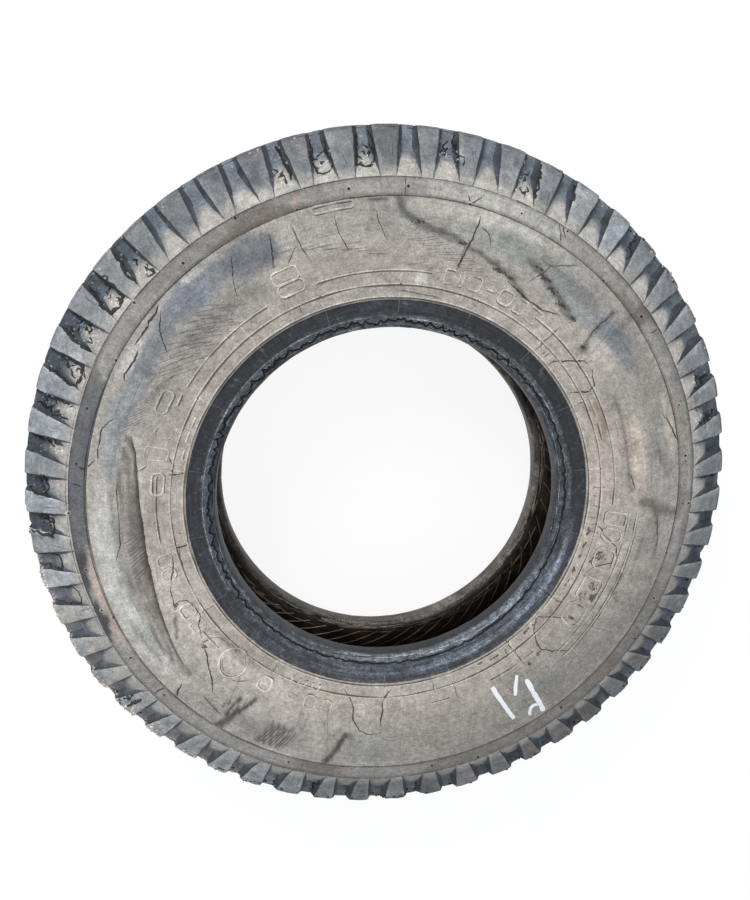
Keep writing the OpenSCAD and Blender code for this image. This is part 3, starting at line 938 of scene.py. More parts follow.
# in this loop, away darkens each coat as painted shade on the side away from the light
for name in ("lug", "ramp", "pocket", "flank"):
    coat = coats[name]
    light, away = lug_lightness_and_painted_shade(coat, 0 if name == "lug" else 0.5)
    down_slope, above_floor = coat.r - 449.4, coat.h > 0
    if name == "lug":
        coat.lay((158, 156, 154), coat.cloud(18, 75, 0.55, 0.9), 0.5)
        coat.lay((66, 71, 78), coat.cloud(13, 76, 0.55, 0.9), 0.6)
        # a painted highlight along the edges of the lugs, away from the band
        coat.lay((170, 170, 170),
                 edge[coat.index] * coat.cloud(16, 65, 0.3, 0.7) * smooth(8, 20, down_slope), 0.5)
        dusty = np.interp(coat.a, (0, 14, 34, 60, 150, 180, 215, 245, 280, 318, 345, 360),
                          (0.72, 1.14, 1.48, 1.18, 1.16, 1.46, 1.40, 1.74, 1.54, 0.88, 0.84, 0.72))
        coat.lay((158, 148, 138), coat.between(226, 262, 5) * coat.cloud(20, 56, 0.3, 0.7), 0.6)
        coat.lay((128, 120, 113), coat.between(112, 168, 8) * coat.cloud(24, 55, 0.3, 0.7), 0.6)
        dusty = dusty * (1 + 0.26 * fractal(coat.q, 8, 51))
        coat.tone *= (light * away * dusty)[:, None]
        foot = smooth(24, 3, down_slope + 8 * fractal(coat.q, 20, 59))
        coat.lay((176, 172, 166), above_floor * foot, 0.75)
        coat.lay((80, 84, 90), smooth(56, 62, down_slope) * coat.between(322, 80, 10)
                 * coat.cloud(24, 47, 0.2, 0.5), 0.6)
    elif name == "ramp":
        turn = coat.a - notch_start
        side = np.radians(turn - np.round(turn / pitch) * pitch) * coat.r
        bell = down_slope + 0.075 * side ** 2 + 9 * fractal(coat.q, 13, 58)
        coat.lay((150, 149, 147), coat.cloud(12, 77, 0.55, 0.9), 0.55)
        coat.lay((200, 196, 189), coat.between(15, 100, 12), 0.5)
        coat.lay((94, 102, 112), smooth(20, 38, bell), 0.9)
        coat.tone *= (0.86 + 0.14 * light - 0.8 * (1 - away))[:, None]
    else:
        coat.lay((122, 130, 140), coat.cloud(12, 78, 0.55, 0.9), 0.6)
        coat.lay((28, 32, 38), coat.cloud(9, 79, 0.5, 0.85), 0.65)
        coat.lay((124, 128, 134), coat.between(200, 264, 6), 0.5)
        if name == "flank":
            # the notch side walls by the mouth's edge are darkened: painted shade
            coat.lay((36, 42, 50), edge[coat.index] * smooth(2, 12, down_slope), 0.8)
            coat.lay((168, 164, 159), (edge[coat.index] < 0.5) * smooth(16, 4, down_slope), 0.6)
        else:
            coat.lay((104, 112, 122), smooth(50, 36, down_slope), 0.7)
            coat.lay((126, 133, 142), coat.between(320, 72, 8), 0.65)
            coat.lay((150, 153, 158), coat.between(196, 264, 6), 0.75)
            coat.lay((116, 124, 132), coat.between(110, 134, 6) + coat.between(166, 196, 6), 0.7)
            coat.tone *= (1 + 0.4 * fractal(coat.q, 8, 52))[:, None]
        coat.tone *= (0.78 + 0.22 * away)[:, None]
tread = coats["tread"]
tread.lay((112, 108, 102), tread.cloud(30, 70, 0.5, 0.9), 0.6)
tread.lay((52, 53, 56), tread.cloud(12, 69, 0.55, 0.9), 0.5)
print("lugs painted")

# %% Paint the bead and the liner
bead, seat, liner = coats["bead"], coats["seat"], coats["liner"]
# lighter from 104 to 206 degrees, where the bead faces the light: a painted sheen
bead.lay((82, 88, 96), bead.between(104, 206, 18), 0.75)
bead.lay((72, 78, 85), bead.between(206, 256, 10) + bead.between(340, 16, 10), 0.55)
bead.lay((20, 23, 27), bead.between(32, 98, 8), 0.85)
# a light band round the bead's curve is a painted highlight, and it fades out past 166 degrees
bead.lay((134, 145, 158), smooth(7, 2.5, np.abs(bead.r - 277)) * bead.between(98, 166, 9), 0.9)
bead.lay((100, 108, 118), smooth(8, 2, np.abs(bead.r - 276)) * bead.between(166, 204, 8), 0.6)
# a dark line beside the painted highlight, part of the painted reflection
bead.lay((40, 45, 52), smooth(3.6, 1.4, np.abs(bead.r - 286)) * bead.between(66, 172, 8), 0.85)
around = bead.between(232, 100, 12)
bead.lay((26, 32, 40), smooth(272, 275, bead.r) * around, 0.62)
bead.lay((90, 99, 110), smooth(273, 270, bead.r) * around, 0.55)
rough = 1 - 0.8 * bead.between(104, 206, 10)
bead.lay((18, 20, 23), bead.cloud(7, 68, 0.46, 0.8) * rough, 0.6)
bead.lay((30, 34, 40), bead.streaks(58, 0.5, 0.75) * (1 - rough), 0.6)
bead.lay((132, 139, 147), bead.cloud(7, 67, 0.64, 0.95) * rough, 0.5)
bead.lay((104, 110, 118), smooth(271, 266, bead.r) * bead.cloud(12, 57, 0.3, 0.8), 0.6)
bead.lay((22, 24, 27), smooth(3.4, 1.0, np.abs(bead.r - 272.5)) * bead.cloud(20, 56, 0.3, 0.6), 0.6)
calm = 1 - 0.7 * seat.between(104, 206, 10)
seat.lay((118, 127, 138), seat.cloud(8, 66, 0.45, 0.85, (1, 1, 3)) * calm, 0.6)
seat.lay((26, 27, 30), seat.cloud(10, 55, 0.5, 0.85, (1, 1, 3)) * calm, 0.6)
seat.lay((124, 131, 140), seat.between(118, 200, 12) * (seat.h > 80), 0.75)
seat.lay((96, 102, 110), seat.between(200, 216, 8) * (seat.h > 80), 0.4)
seat.lay((40, 48, 58), seat.between(250, 300, 8), 0.55)
seat.lay((22, 22, 24), (seat.h < 80) * (seat.h > 40), 0.6)
for coat in (bead, seat):
    coat.lay((112, 118, 126), coat.between(348, 32, 8) * smooth(268, 265, coat.r) * (coat.h > 80), 0.5)
    # a dark line along the tear: dark rubber and painted shadow in the step under the skin
    off_tear = np.abs(coat.r - tear_r(coat.a) + 0.7)
    coat.lay((30, 32, 35), smooth(2.6, 0.8, off_tear) * (coat.h > 85), 0.85)
liner.lay((138, 108, 88), (liner.h < 0) * liner.cloud(26, 71, 0.35, 0.75), 0.85)
liner.lay((34, 27, 22), liner.cloud(20, 54, 0.55, 0.85), 0.7)
for coat in (liner, seat):
    coat.lay((130, 122, 114), (coat.h < -10) * smooth(292, 266, coat.r), 0.8)
    coat.lay((40, 35, 31), (coat.h < -10) * coat.cloud(9, 53, 0.5, 0.75), 0.45)
    coat.lay((38, 34, 31), (coat.h < -10) * coat.streaks(59, 0.5, 0.72), 0.75)
    coat.lay((46, 43, 41), (coat.h < -10) * coat.between(198, 300, 14), 0.6)
print("bead and liner painted")

# %% Store the tone on the mesh
tone = np.zeros((len(corner_vertex), 3))
for number, zone in enumerate(zones):
    own = np.flatnonzero(corner_zone == number)
    coat = coats[zone]
    tone[own] = coat.tone[np.searchsorted(coat.index, corner_vertex[own])]

def store_tone(mesh, values, domain):
    layer = mesh.attributes.new("tone", "FLOAT_COLOR", domain)
    rgba = np.ones((len(values), 4))
    rgba[:, :3] = np.clip(values, 0, 1)
    layer.data.foreach_set("color", rgba.ravel())

store_tone(mesh, tone, "CORNER")
print("mean tone:", np.round(tone.mean(0), 3))

# %% [markdown]
# ## The rubber
# One recipe serves four finishes: the dusty outside, the bead that the rim has rubbed smooth, the
# dark liner and the open cracks. It multiplies the tone by cloudy noise, drops dark and pale
# specks on it, draws fine streaks round the axis, and roughens the surface with a bump. The
# streaks need polar coordinates, which come from the object's own X and Y, so that nothing
# depends on the camera.

# %% Shader helpers
def ramp_between(tree, value, low, high, to_low, to_high):
    got = node(tree, "ShaderNodeMapRange", {"interpolation_type": "SMOOTHSTEP"}, i_0=value, i_1=low,
               i_2=high, i_3=to_low, i_4=to_high)
    return got.outputs[0]

def mix(tree, a, b, factor, kind="MIX"):
    made = node(tree, "ShaderNodeMix", {"data_type": "RGBA", "blend_type": kind}, i_0=factor)
    for socket, value in ((made.inputs[6], a), (made.inputs[7], b)):
        if isinstance(value, bpy.types.NodeSocket):
            tree.links.new(value, socket)
        else:
            socket.default_value = (*value, 1)
    return made.outputs[2]

def grain(tree, where, scale, detail=4.0, rough=0.6):
    return node(tree, "ShaderNodeTexNoise", Vector=where, Scale=scale, Detail=detail,
                Roughness=rough).outputs[0]

def polar_place(tree, where, round_scale, out_scale):
    # (cos, sin) times one scale, and the radius times another: stretched round the axis, no seam
    flat = node(tree, "ShaderNodeVectorMath", {"operation": "MULTIPLY"}, i_0=where, i_1=(1, 1, 0))
    unit = node(tree, "ShaderNodeVectorMath", {"operation": "NORMALIZE"}, i_0=flat.outputs[0])
    ring = node(tree, "ShaderNodeVectorMath", {"operation": "SCALE"}, i_0=unit.outputs[0])
    ring.inputs[3].default_value = round_scale
    size = node(tree, "ShaderNodeVectorMath", {"operation": "LENGTH"}, i_0=flat.outputs[0])
    rise = node(tree, "ShaderNodeCombineXYZ", Z=sums(tree, "MULTIPLY", size.outputs[1], out_scale))
    return node(tree, "ShaderNodeVectorMath", {"operation": "ADD"}, i_0=ring.outputs[0],
                i_1=rise.outputs[0]).outputs[0]

# %% The rubber recipe
def rubber_finish(material, rough, streak, dust, bump, rich=0.15, dark=(0.03, 0.032, 0.035),
                  pale=(0.50, 0.47, 0.43)):
    material.use_nodes = True
    tree = material.node_tree
    shader = tree.nodes["Principled BSDF"]
    where = node(tree, "ShaderNodeTexCoord").outputs["Object"]
    tone_in = node(tree, "ShaderNodeAttribute", {"attribute_name": "tone"}).outputs["Color"]
    clouds = grain(tree, where, 34, 6, 0.68)
    mottle = grain(tree, where, 130, 5, 0.7)
    fine = grain(tree, where, 430, 3, 0.6)
    streaks = grain(tree, polar_place(tree, where, 5.0, 260), 1.0, 5, 0.65)
    value = ramp_between(tree, clouds, 0.28, 0.72, 0.80, 1.18)
    for pattern, low, high, amount in ((mottle, 0.32, 0.68, rich), (fine, 0.32, 0.68, rich),
                                       (streaks, 0.3, 0.7, streak)):
        change = ramp_between(tree, pattern, low, high, 1 - amount, 1 + amount)
        value = sums(tree, "MULTIPLY", value, change)
    gray = node(tree, "ShaderNodeCombineColor", i_0=value, i_1=value, i_2=value).outputs[0]
    colour = mix(tree, tone_in, gray, 1.0, "MULTIPLY")
    patches = grain(tree, where, 62, 5, 0.75)
    colour = mix(tree, colour, pale, ramp_between(tree, patches, 0.56, 0.74, 0, dust))
    specks = grain(tree, where, 520, 2, 0.5)
    colour = mix(tree, colour, dark, ramp_between(tree, specks, 0.64, 0.71, 0, 0.6))
    flecks = grain(tree, where, 380, 2, 0.5)
    colour = mix(tree, colour, pale, ramp_between(tree, flecks, 0.69, 0.76, 0, 0.5 * dust + 0.2))
    tree.links.new(colour, shader.inputs["Base Color"])
    uneven = ramp_between(tree, mottle, 0.3, 0.7, rough - 0.06, rough + 0.08)
    tree.links.new(uneven, shader.inputs["Roughness"])
    crack = node(tree, "ShaderNodeTexVoronoi", {"feature": "DISTANCE_TO_EDGE"}, Vector=where,
                 Scale=150.0)
    height = sums(tree, "ADD", sums(tree, "MULTIPLY", grain(tree, where, 700, 3, 0.6), 0.35),
                  sums(tree, "MULTIPLY", mottle, 0.8))
    height = sums(tree, "ADD", height, ramp_between(tree, crack.outputs[0], 0.0, 0.06, -0.25, 0))
    height = sums(tree, "ADD", height, sums(tree, "MULTIPLY", streaks, streak * 2))
    lift = node(tree, "ShaderNodeBump", Strength=bump, Distance=0.0012, Height=height)
    tree.links.new(lift.outputs[0], shader.inputs["Normal"])
    shader.inputs["Specular IOR Level"].default_value = 0.4
    return material

rubber_finish(rubber, 0.82, 0.08, 0.20, 0.8, 0.19)
bead_rubber = rubber_finish(bpy.data.materials.new("rubbed bead rubber"), 0.5, 0.55, 0.10, 0.9, 0.5,
                            (0.012, 0.013, 0.015), (0.26, 0.29, 0.33))
liner_rubber = rubber_finish(bpy.data.materials.new("liner rubber"), 0.62, 0.16, 0.05, 0.8, 0.25)
mesh.materials.clear()
for material in (rubber, bead_rubber, liner_rubber):
    mesh.materials.append(material)
slot_of = np.array([{"bead": 1, "seat": 1, "rim": 1, "liner": 2}.get(z, 0) for z in zones])
mesh.polygons.foreach_set("material_index", slot_of[face_zone_of].astype(np.int32))
mesh.update()
print([m.name for m in mesh.materials])

# %% [markdown]
# ## Laying marks on the rubber
# Cracks, moulded lines and paint all follow the surface. Each is a line of (angle, radius) points.
# It is cut into short steps, shaken a little, and dropped onto the casing from above. A node tree
# then sweeps a flat oval along it, as wide as the line says. The oval's lower half is buried.

# %% Lines on the casing
casing_tree = BVHTree.FromPolygons([Vector(v) for v in worn.tolist()],
                                   [tuple(p.vertices) for p in mesh.polygons])
# the mean tone of each corner of the mesh, for the marks that lie on it
tone_at = np.zeros((len(worn), 3))
np.add.at(tone_at, corner_vertex, tone)
tone_at /= np.maximum(np.bincount(corner_vertex, minlength=len(worn)), 1)[:, None]
sky = Vector((0, 0, -1))

def drop(phi, r, lift=0.0):
    # straight down onto the casing, then up by lift millimetres
    flat = place(np.asarray(r, float), np.asarray(phi, float), 0 * np.asarray(r, float))
    for p in flat:
        hit = casing_tree.ray_cast(Vector((p[0], p[1], cad_high.z + 0.05)), sky)[0]
        p[2] = (hit.z if hit else 0.0) + lift * mm
    return flat

def trace(points, step=2.0, shake=0.0, seed=0, closed=False):
    # (angle, radius) points to evenly stepped ones, shaken sideways by up to shake mm
    pts = np.array(list(points) + ([points[0]] if closed else []), float)
    pts[:, 0] = np.degrees(np.unwrap(np.radians(pts[:, 0])))
    x = place(pts[:, 1], pts[:, 0], 0 * pts[:, 0])[:, :2] / mm
    far = np.concatenate([[0], np.cumsum(np.hypot(*np.diff(x, axis=0).T))])
    t = np.linspace(0, far[-1], max(3, int(far[-1] / step) + 1))
    phi, r = np.interp(t, far, pts[:, 0]), np.interp(t, far, pts[:, 1])
    if shake:
        p = np.stack([r * np.sin(np.radians(phi)), r * np.cos(np.radians(phi)), 0 * r], 1)
        r = r + shake * (noise(p, 7, seed) + 0.6 * noise(p, 3, seed + 1))
        phi = phi + np.degrees(shake / r) * (noise(p, 7, seed + 2) + 0.6 * noise(p, 3, seed + 3))
    return phi, r

def traced(points, step, shake, seed, lift):
    return drop(*trace(points, step, shake, seed), lift)

def taper(n, thin=0.35):
    # full in the middle, and down to thin over the last sixth at both ends
    t = np.linspace(0, 1, n)
    return thin + (1 - thin) * np.clip(np.minimum(t, 1 - t) * 6, 0, 1)

def strokes_to_lines(strokes, step, shake, seed, lift, thin=0.2):
    # each stroke is its stops and its width, and comes out thinner at both ends
    made = []
    for n, (points, width) in enumerate(strokes):
        p = traced(points, step, shake, seed + n, lift)
        made.append((p, width * taper(len(p), thin), False))
    return made

def spread(n, step=0.618, start=0.0):
    # even but never regular numbers from 0 to 1, the same on each run
    return (n * step + start) % 1

print("a line of", len(trace([(0, 300), (20, 300)])[0]), "points; a point drops to",
      np.round(drop([0], [386]), 4))

# %% A tree that sweeps a flat oval along lines
def sweep_tree():
    tree, given, result = new_tree("Sweep along lines", Width="NodeSocketFloat",
                                   Height="NodeSocketFloat", Sides="NodeSocketInt",
                                   Rubber="NodeSocketMaterial")
    curve = node(tree, "GeometryNodeMeshToCurve", Mesh=given.outputs["Geometry"])
    level = node(tree, "GeometryNodeSetCurveNormal", {"mode": "Z_UP"}, Curve=curve.outputs[0])
    oval = node(tree, "GeometryNodeCurvePrimitiveCircle", Resolution=given.outputs["Sides"], Radius=0.5)
    size = node(tree, "ShaderNodeCombineXYZ", X=given.outputs["Width"], Y=given.outputs["Height"],
                Z=1.0)
    flat = node(tree, "GeometryNodeTransform", Geometry=oval.outputs[0], Scale=size.outputs[0])
    thick = node(tree, "GeometryNodeInputNamedAttribute", {"data_type": "FLOAT"}, Name="thick")
    swept = node(tree, "GeometryNodeCurveToMesh", Curve=level.outputs[0], Scale=thick.outputs[0],
                 i_1=flat.outputs[0], i_3=True)
    soft = node(tree, "GeometryNodeSetShadeSmooth", Geometry=swept.outputs[0])
    return end_tree(tree, given, result, soft.outputs[0])

sweep = sweep_tree()
pieces = [casing]

def point_object(name, points, edges=()):
    shape = bpy.data.meshes.new(name)
    shape.from_pydata([tuple(p) for p in points], list(edges), [])
    obj = bpy.data.objects.new(name, shape)
    scene.collection.objects.link(obj)
    return obj

def lines_object(name, lines):
    # lines: (points, thickness, closed); thickness scales the oval at each point
    points, edges, thick = [], [], []
    for line, width, closed in lines:
        first = len(points)
        points += list(line)
        edges += [(first + i, first + i + 1) for i in range(len(line) - 1)]
        if closed:
            edges.append((first + len(line) - 1, first))
        thick += list(np.broadcast_to(width, len(line)))
    obj = point_object(name, points, edges)
    layer = obj.data.attributes.new("thick", "FLOAT", "POINT")
    layer.data.foreach_set("value", np.array(thick, float))
    return obj

def tint(obj, factor, add=(0, 0, 0)):
    # takes the tone of the rubber right under each corner, then darkens or lightens it
    p = read(obj.data, "position", "vector", width=3)
    tones = np.empty((len(p), 3))
    for i, v in enumerate(p):
        _, _, face, _ = casing_tree.find_nearest(Vector(v))
        tones[i] = tone_at[list(mesh.polygons[face].vertices)].mean(0)
    store_tone(obj.data, tones * factor + np.array(add), "POINT")

def lay_lines(name, lines, width, height, material, factor=None, sides=8, add=(0, 0, 0)):
    obj = lines_object(name, lines)
    bake_nodes(obj, sweep, Width=width * mm, Height=height * mm, Sides=sides, Rubber=material)
    if factor is not None:
        tint(obj, factor, add)
    pieces.append(obj)
    box = read(obj.data, "position", "vector", width=3)
    print(name, len(lines), "lines,", len(obj.data.polygons), "faces, top at",
          round(box[:, 2].max() / mm, 1))

# %% [markdown]
# ## Moulded lines
# The mould left thin rings round the rim line, and short lines across them, one every 20 degrees.
# They stand less than 1 mm proud, and are tinted lighter than the wall as a painted highlight.
# Dirt and painted shade lie in a dark line against the foot of each, on the side nearer the axis.

# %% Rings and cross lines
def ring_line(r, a=0.0, b=360.0, lift=0.15, shake=0.25, seed=1):
    # a ring, or an arc from a to b, and whether it closes
    closed = b - a >= 360
    n = int(math.radians(b - a) * r / 3.2)
    phi = np.linspace(a, b, n, endpoint=not closed)
    wobble = shake * noise(place(0 * phi + r, phi, 0 * phi) / mm, 30, seed)
    return drop(phi, r + wobble, lift), closed

part_rings = [(-19, 8), (35.5, 91), (137, 151), (163, 168), (230, 236), (262, 279), (302, 328.5)]
inner_ring, middle_ring, outer_ring = 296.6, 313.6, 332.0
rings = [(*ring_line(inner_ring), 1.0), (*ring_line(middle_ring, seed=2), 1.0)]
rings += [(*ring_line(outer_ring, a, b, seed=3), 0.85) for a, b in part_rings]
ring_lines = [(p, w * (0.85 + 0.3 * noise(p / mm, 40, 5)), c) for p, c, w in rings]
# the rings are tinted lighter than the wall under them: a painted highlight
lay_lines("moulded_rings", ring_lines, 2.2, 1.4, rubber, 1.34, sides=6)
# dark lines of dirt and painted shade at the foot of the rings; those at 426.4 and 451.0 mm are painted
# shadow along the band's edges
# radius, first angle, last angle, seed, width
dirt_and_shade_rings = [(inner_ring, 0, 360, 1, 1.2), (middle_ring, 0, 360, 2, 1.2), (426.4, 0, 360, 4, 1.0),
         (451.0, 20, 315, 5, 0.5), *((outer_ring, a, b, 3, 1.0) for a, b in part_rings)]
ring_dirt_and_shade = [(*ring_line(r - 1.7, a, b, 0.06, 0.3, s), w) for r, a, b, s, w in dirt_and_shade_rings]
ring_dirt_and_shade_lines = [(p, w * np.clip(0.75 + 0.8 * noise(p / mm, 26, 6), 0.15, 1.4), c) for p, c, w in ring_dirt_and_shade]
lay_lines("dirt_and_painted_shade_by_rings", ring_dirt_and_shade_lines, 2.2, 0.5, rubber, 0.27, sides=4)

# %% Short lines across the rings
cross, cross_angles = [], [0.8 + 20 * k for k in range(18)]
for k, a in enumerate(cross_angles):
    far = 340 if k in (2, 16) else (322 if k % 3 == 0 else 317)
    cross.append((traced([(a, 274), (a + 0.1, 291)], 2.0, 0.3, k, 0.1), 0.9, False))
    p = traced([(a, 294), (a, far)], 2.0, 0.3, k + 40, 0.1)
    cross.append((p, np.linspace(1.1, 0.5, len(p)), False))
# the cross lines are tinted lighter than the wall: a painted highlight
lay_lines("moulded_cross_lines", cross, 1.7, 1.1, rubber, 1.25, sides=6, add=(0.06, 0.06, 0.06))

# %% [markdown]
# ## Cracks
# Old rubber cracks where it has bent most. Each crack is a line of stops that was read off the real
# wall, shaken at two scales so that it wanders, and thin at both ends. The sweep is almost black.
# A few of the lines are painted shade: one in the fold's step, and two under the bulge at 77 degrees.

# %% Crack lines, as (degrees, radius) stops and a width in millimetres
cracks = [
    ([(14.8, 415), (14.6, 395), (14.2, 378), (13.6, 358), (13.1, 341)], 1.6),
    ([(15.5, 403), (17, 398), (17.8, 390), (18.2, 384)], 1.0),
    ([(47.1, 410), (46.9, 385), (47, 372), (48, 355)], 1.1),
    ([(53, 341), (51.6, 338), (50, 326), (48.5, 316), (47.2, 306), (47, 300)], 1.6),
    ([(54.3, 342), (56, 337), (58.3, 335), (59.3, 325), (58.5, 315), (57.5, 305), (57, 300)], 1.6),
    ([(25, 352), (28, 347), (31, 344), (35, 343.5), (37, 348), (39.5, 353)], 1.7),
    ([(35.5, 418), (33, 405), (31, 395), (30.5, 382), (29, 362)], 0.9),
    # (83, 353) to (86, 357) is painted shadow under the bulge at 77 degrees
    ([(70.5, 408), (73, 415), (77, 424)], 1.0), ([(83, 353), (86, 357)], 0.9),
    ([(97.5, 303), (96.8, 310), (98, 322), (99.5, 325), (100.5, 335), (101.5, 347), (104, 350),
      (106, 348), (107.5, 335), (109, 325), (112, 319)], 1.5),
    ([(93, 396), (97, 402), (100.5, 407)], 0.9),
    ([(124.5, 330), (126, 318), (128, 305), (129, 298), (130.5, 299), (133, 308), (134.5, 322),
      (135.2, 335), (134, 345), (132.5, 352), (131, 362), (130, 367)], 1.5),
    ([(179, 301), (180.5, 308), (181.6, 318), (181.5, 330), (182, 345), (182, 355)], 1.7),
    ([(182, 365), (185, 366), (187, 361), (188.5, 352), (189.3, 345), (189.5, 330), (190.5, 318),
      (192, 308), (193.3, 302)], 1.5),
    ([(223.5, 382), (225.5, 370), (228.5, 358), (231, 348), (233.3, 343)], 1.7),
    ([(235, 338), (237, 333), (238.5, 328), (240, 321), (243, 321), (245.5, 325), (246.5, 335),
      (246, 343), (250, 337), (254, 326), (256, 321), (258, 322), (259, 330)], 1.5),
    ([(234, 343), (233.5, 330), (232, 320), (229.5, 318)], 1.1),
    ([(228, 425), (229, 415), (229.6, 403)], 1.8),
    ([(231.2, 447), (231.3, 437), (231.2, 428)], 2.6),
    ([(280.5, 408), (283, 411), (287, 411), (289, 405), (290, 399)], 1.5),
    ([(297.5, 405), (298.5, 409), (300, 406), (302, 405), (303.5, 408)], 2.0),
    ([(304, 416), (306, 415), (308.5, 414.5), (309, 418), (311, 417), (312.5, 422)], 2.2),
    ([(281.5, 310), (284, 320)], 1.3), ([(281.0, 414), (279.6, 421)], 1.2),
    ([(259.5, 395), (262, 388), (264, 381), (270, 379), (278, 382)], 1.0),
    ([(312, 415), (309, 400), (306.5, 376)], 1.1), ([(328, 408), (326, 385), (324.5, 363)], 1.0),
    ([(335.8, 410), (335, 390), (333.8, 370)], 1.2), ([(340, 410), (340.3, 385), (341, 365)], 1.1),
    ([(347.8, 408), (348.2, 385), (349.5, 360)], 0.9),
    ([(355.5, 408), (356.3, 385), (357.3, 370)], 0.9), ([(336.8, 368), (339.3, 383)], 0.9),
    ([(218.6, 341), (220.4, 349), (221.8, 352)], 1.1), ([(279, 433), (279.1, 425)], 2.0),
    ([(0.8, 448), (0.9, 425)], 1.0), ([(12.4, 425), (12.2, 431), (11.9, 437)], 1.2),
    ([(12.5, 426), (13.3, 432), (14.2, 440)], 1.0), ([(28.6, 448), (29.6, 440), (30.4, 430)], 1.4),
    ([(29.3, 449), (30.4, 441), (30.9, 436)], 1.3), ([(55.2, 447), (55.2, 436)], 1.1),
    ([(276, 440), (275.6, 428)], 0.9)]
# the fold's crisp lower edge, a dark line of painted shade in its step, and the moulded cross lines
# that have opened
fold_edge = [(a, float(np.interp(a, crease["phi"], crease["edge"])) - 0.6) for a in range(240, 288, 4)]
cracks += [
    (fold_edge, 0.9), ([(41.4, 342), (41.5, 296)], 1.1), ([(259.8, 314), (259.8, 297)], 1.5),
    ([(279.6, 314), (280.2, 297)], 1.7), ([(240.3, 315), (240.3, 297)], 0.8),
    ([(141, 341), (141.2, 297), (141.1, 271)], 1.0),
    ([(121.6, 314), (121.8, 290), (121.6, 272)], 0.9), ([(161, 345), (160.9, 298)], 0.8),
    ([(20.9, 310), (20.6, 302)], 0.9), ([(61.4, 298), (61.6, 291)], 0.9),
    ([(93, 367.5), (98, 367), (105, 367.5), (112, 367), (119, 367), (130, 367)], 0.9),
    ([(0, 304), (5, 303), (12, 299)], 0.9), ([(218.3, 404), (222, 400), (224, 396)], 1.3),
    # (83, 353.5) to (86.6, 357.5) is painted shadow under the bulge at 77 degrees
    ([(262, 332), (270, 332), (279, 331)], 1.0), ([(83, 353.5), (86.6, 357.5)], 1.0),
    ([(71, 413), (74, 419), (77.5, 425)], 0.9), ([(254, 312), (259, 309)], 1.0)]
# short ticks across the rim line, where the wall is torn
ticks = (43.5, 44.6, 61, 86, 88.5, 91.5, 95, 99, 122, 143, 166.5, 214, 263, 292, 335)
cracks += [([(a, 300 + n % 3), (a + 0.3, 306 + 4 * (n % 4))], 0.9) for n, a in enumerate(ticks)]

crack_rubber = rubber_finish(bpy.data.materials.new("open crack"), 0.9, 0.0, 0.05, 0.3)
crack_lines = []
for n, (points, width) in enumerate(cracks):
    p = traced(points, 1.6, 0.8, 200 + 7 * n, 0.05)
    crack_lines.append((p, 1.3 * width * taper(len(p)) * (0.85 + 0.55 * noise(p / mm, 4, n)), False))
lay_lines("wall_cracks", crack_lines, 1.0, 0.55, crack_rubber, 0.13, sides=6)

# %% Fine parallel scratches, where the tyre was dragged
scratches = []
for n in range(34):
    a = 300 + 18 * spread(n)
    scratches.append(([(a, 384 - 12 * (n % 3)), (a + 5.5 + n % 4, 366 - 12 * (n % 3) - 14)], 0.55))
for n in range(14):
    scratches.append(([(287.5 + 0.9 * n, 388 - 1.6 * n), (291 + 0.9 * n, 366 - 1.0 * n)], 0.6))
for n in range(9):
    scratches.append(([(203.4 + 0.7 * n, 417), (201.9 + 0.7 * n, 379 + n % 3 * 4)], 1.3))
for n in range(12):
    start, end = (255 + 0.8 * n, 374 + n % 3 * 2), (256.8 + 0.8 * n, 355 - n % 2 * 2)
    scratches.append(([start, end], 0.8 + 0.3 * (n % 2)))
for n in range(18):
    a, r = 334 + 22 * spread(n), 350 + 36 * spread(n, 0.382)
    scratches.append(([(a, r), (a + 3 + n % 4, r - 2 + n % 3)], 0.6))
for n in range(14):
    a, r = 1 + 15 * spread(n), 338 + 34 * spread(n, 0.382)
    scratches.append(([(a, r), (a + 3, r + 3), (a + 6, r + 8)], 0.6))
for n in range(70):
    a = 360 * spread(n, 0.382)
    end = (a + 2 + 3 * spread(n, 0.53), 322 + 80 * spread(n, 0.27, 0.1))
    scratches.append(([(a, 330 + 80 * spread(n, 0.27)), end], 0.5))
lay_lines("drag_scratches", strokes_to_lines(scratches, 3.0, 0.3, 500, 0.02),
          1.6, 0.3, rubber, 0.52, sides=4)

# %% Pale scratches, where something harder has rubbed
rubs = []
for n in range(110):
    a, r, lean = 360 * spread(n), 304 + 112 * spread(n, 0.71), 5 * spread(n, 0.37) - 1
    end = (a + 2 + lean, min(r + 12 * spread(n, 0.83) - 6, 420))
    rubs.append(([(a, r), end], 0.7))
lay_lines("rubbed_lines", strokes_to_lines(rubs, 3.0, 0.5, 620, 0.02), 1.6, 0.3, rubber, 1.22, sides=4)

# %% [markdown]
# ## Torn notches
# Stones have torn the rubber inside some notches. The tears run down one side of a notch, across
# its ramp and up the other side, black and jagged. Which notches are torn follows the real tyre.

# %% Tears inside the notches
def notch_tear(centre, left, right, foot, across):
    # left and right: degrees from the notch centre; foot: radius at the lowest place
    points = [(centre + left * 0.62, 509), (centre + left * 0.8, 492), (centre + left, 474),
              (centre + left * 0.92, foot + 4)]
    if across:
        points += [(centre + left * 0.3, foot), (centre + right * 0.5, foot + 2),
                   (centre + right, foot + 9), (centre + right * 0.85, 488),
                   (centre + right * 0.7, 508)]
    return points

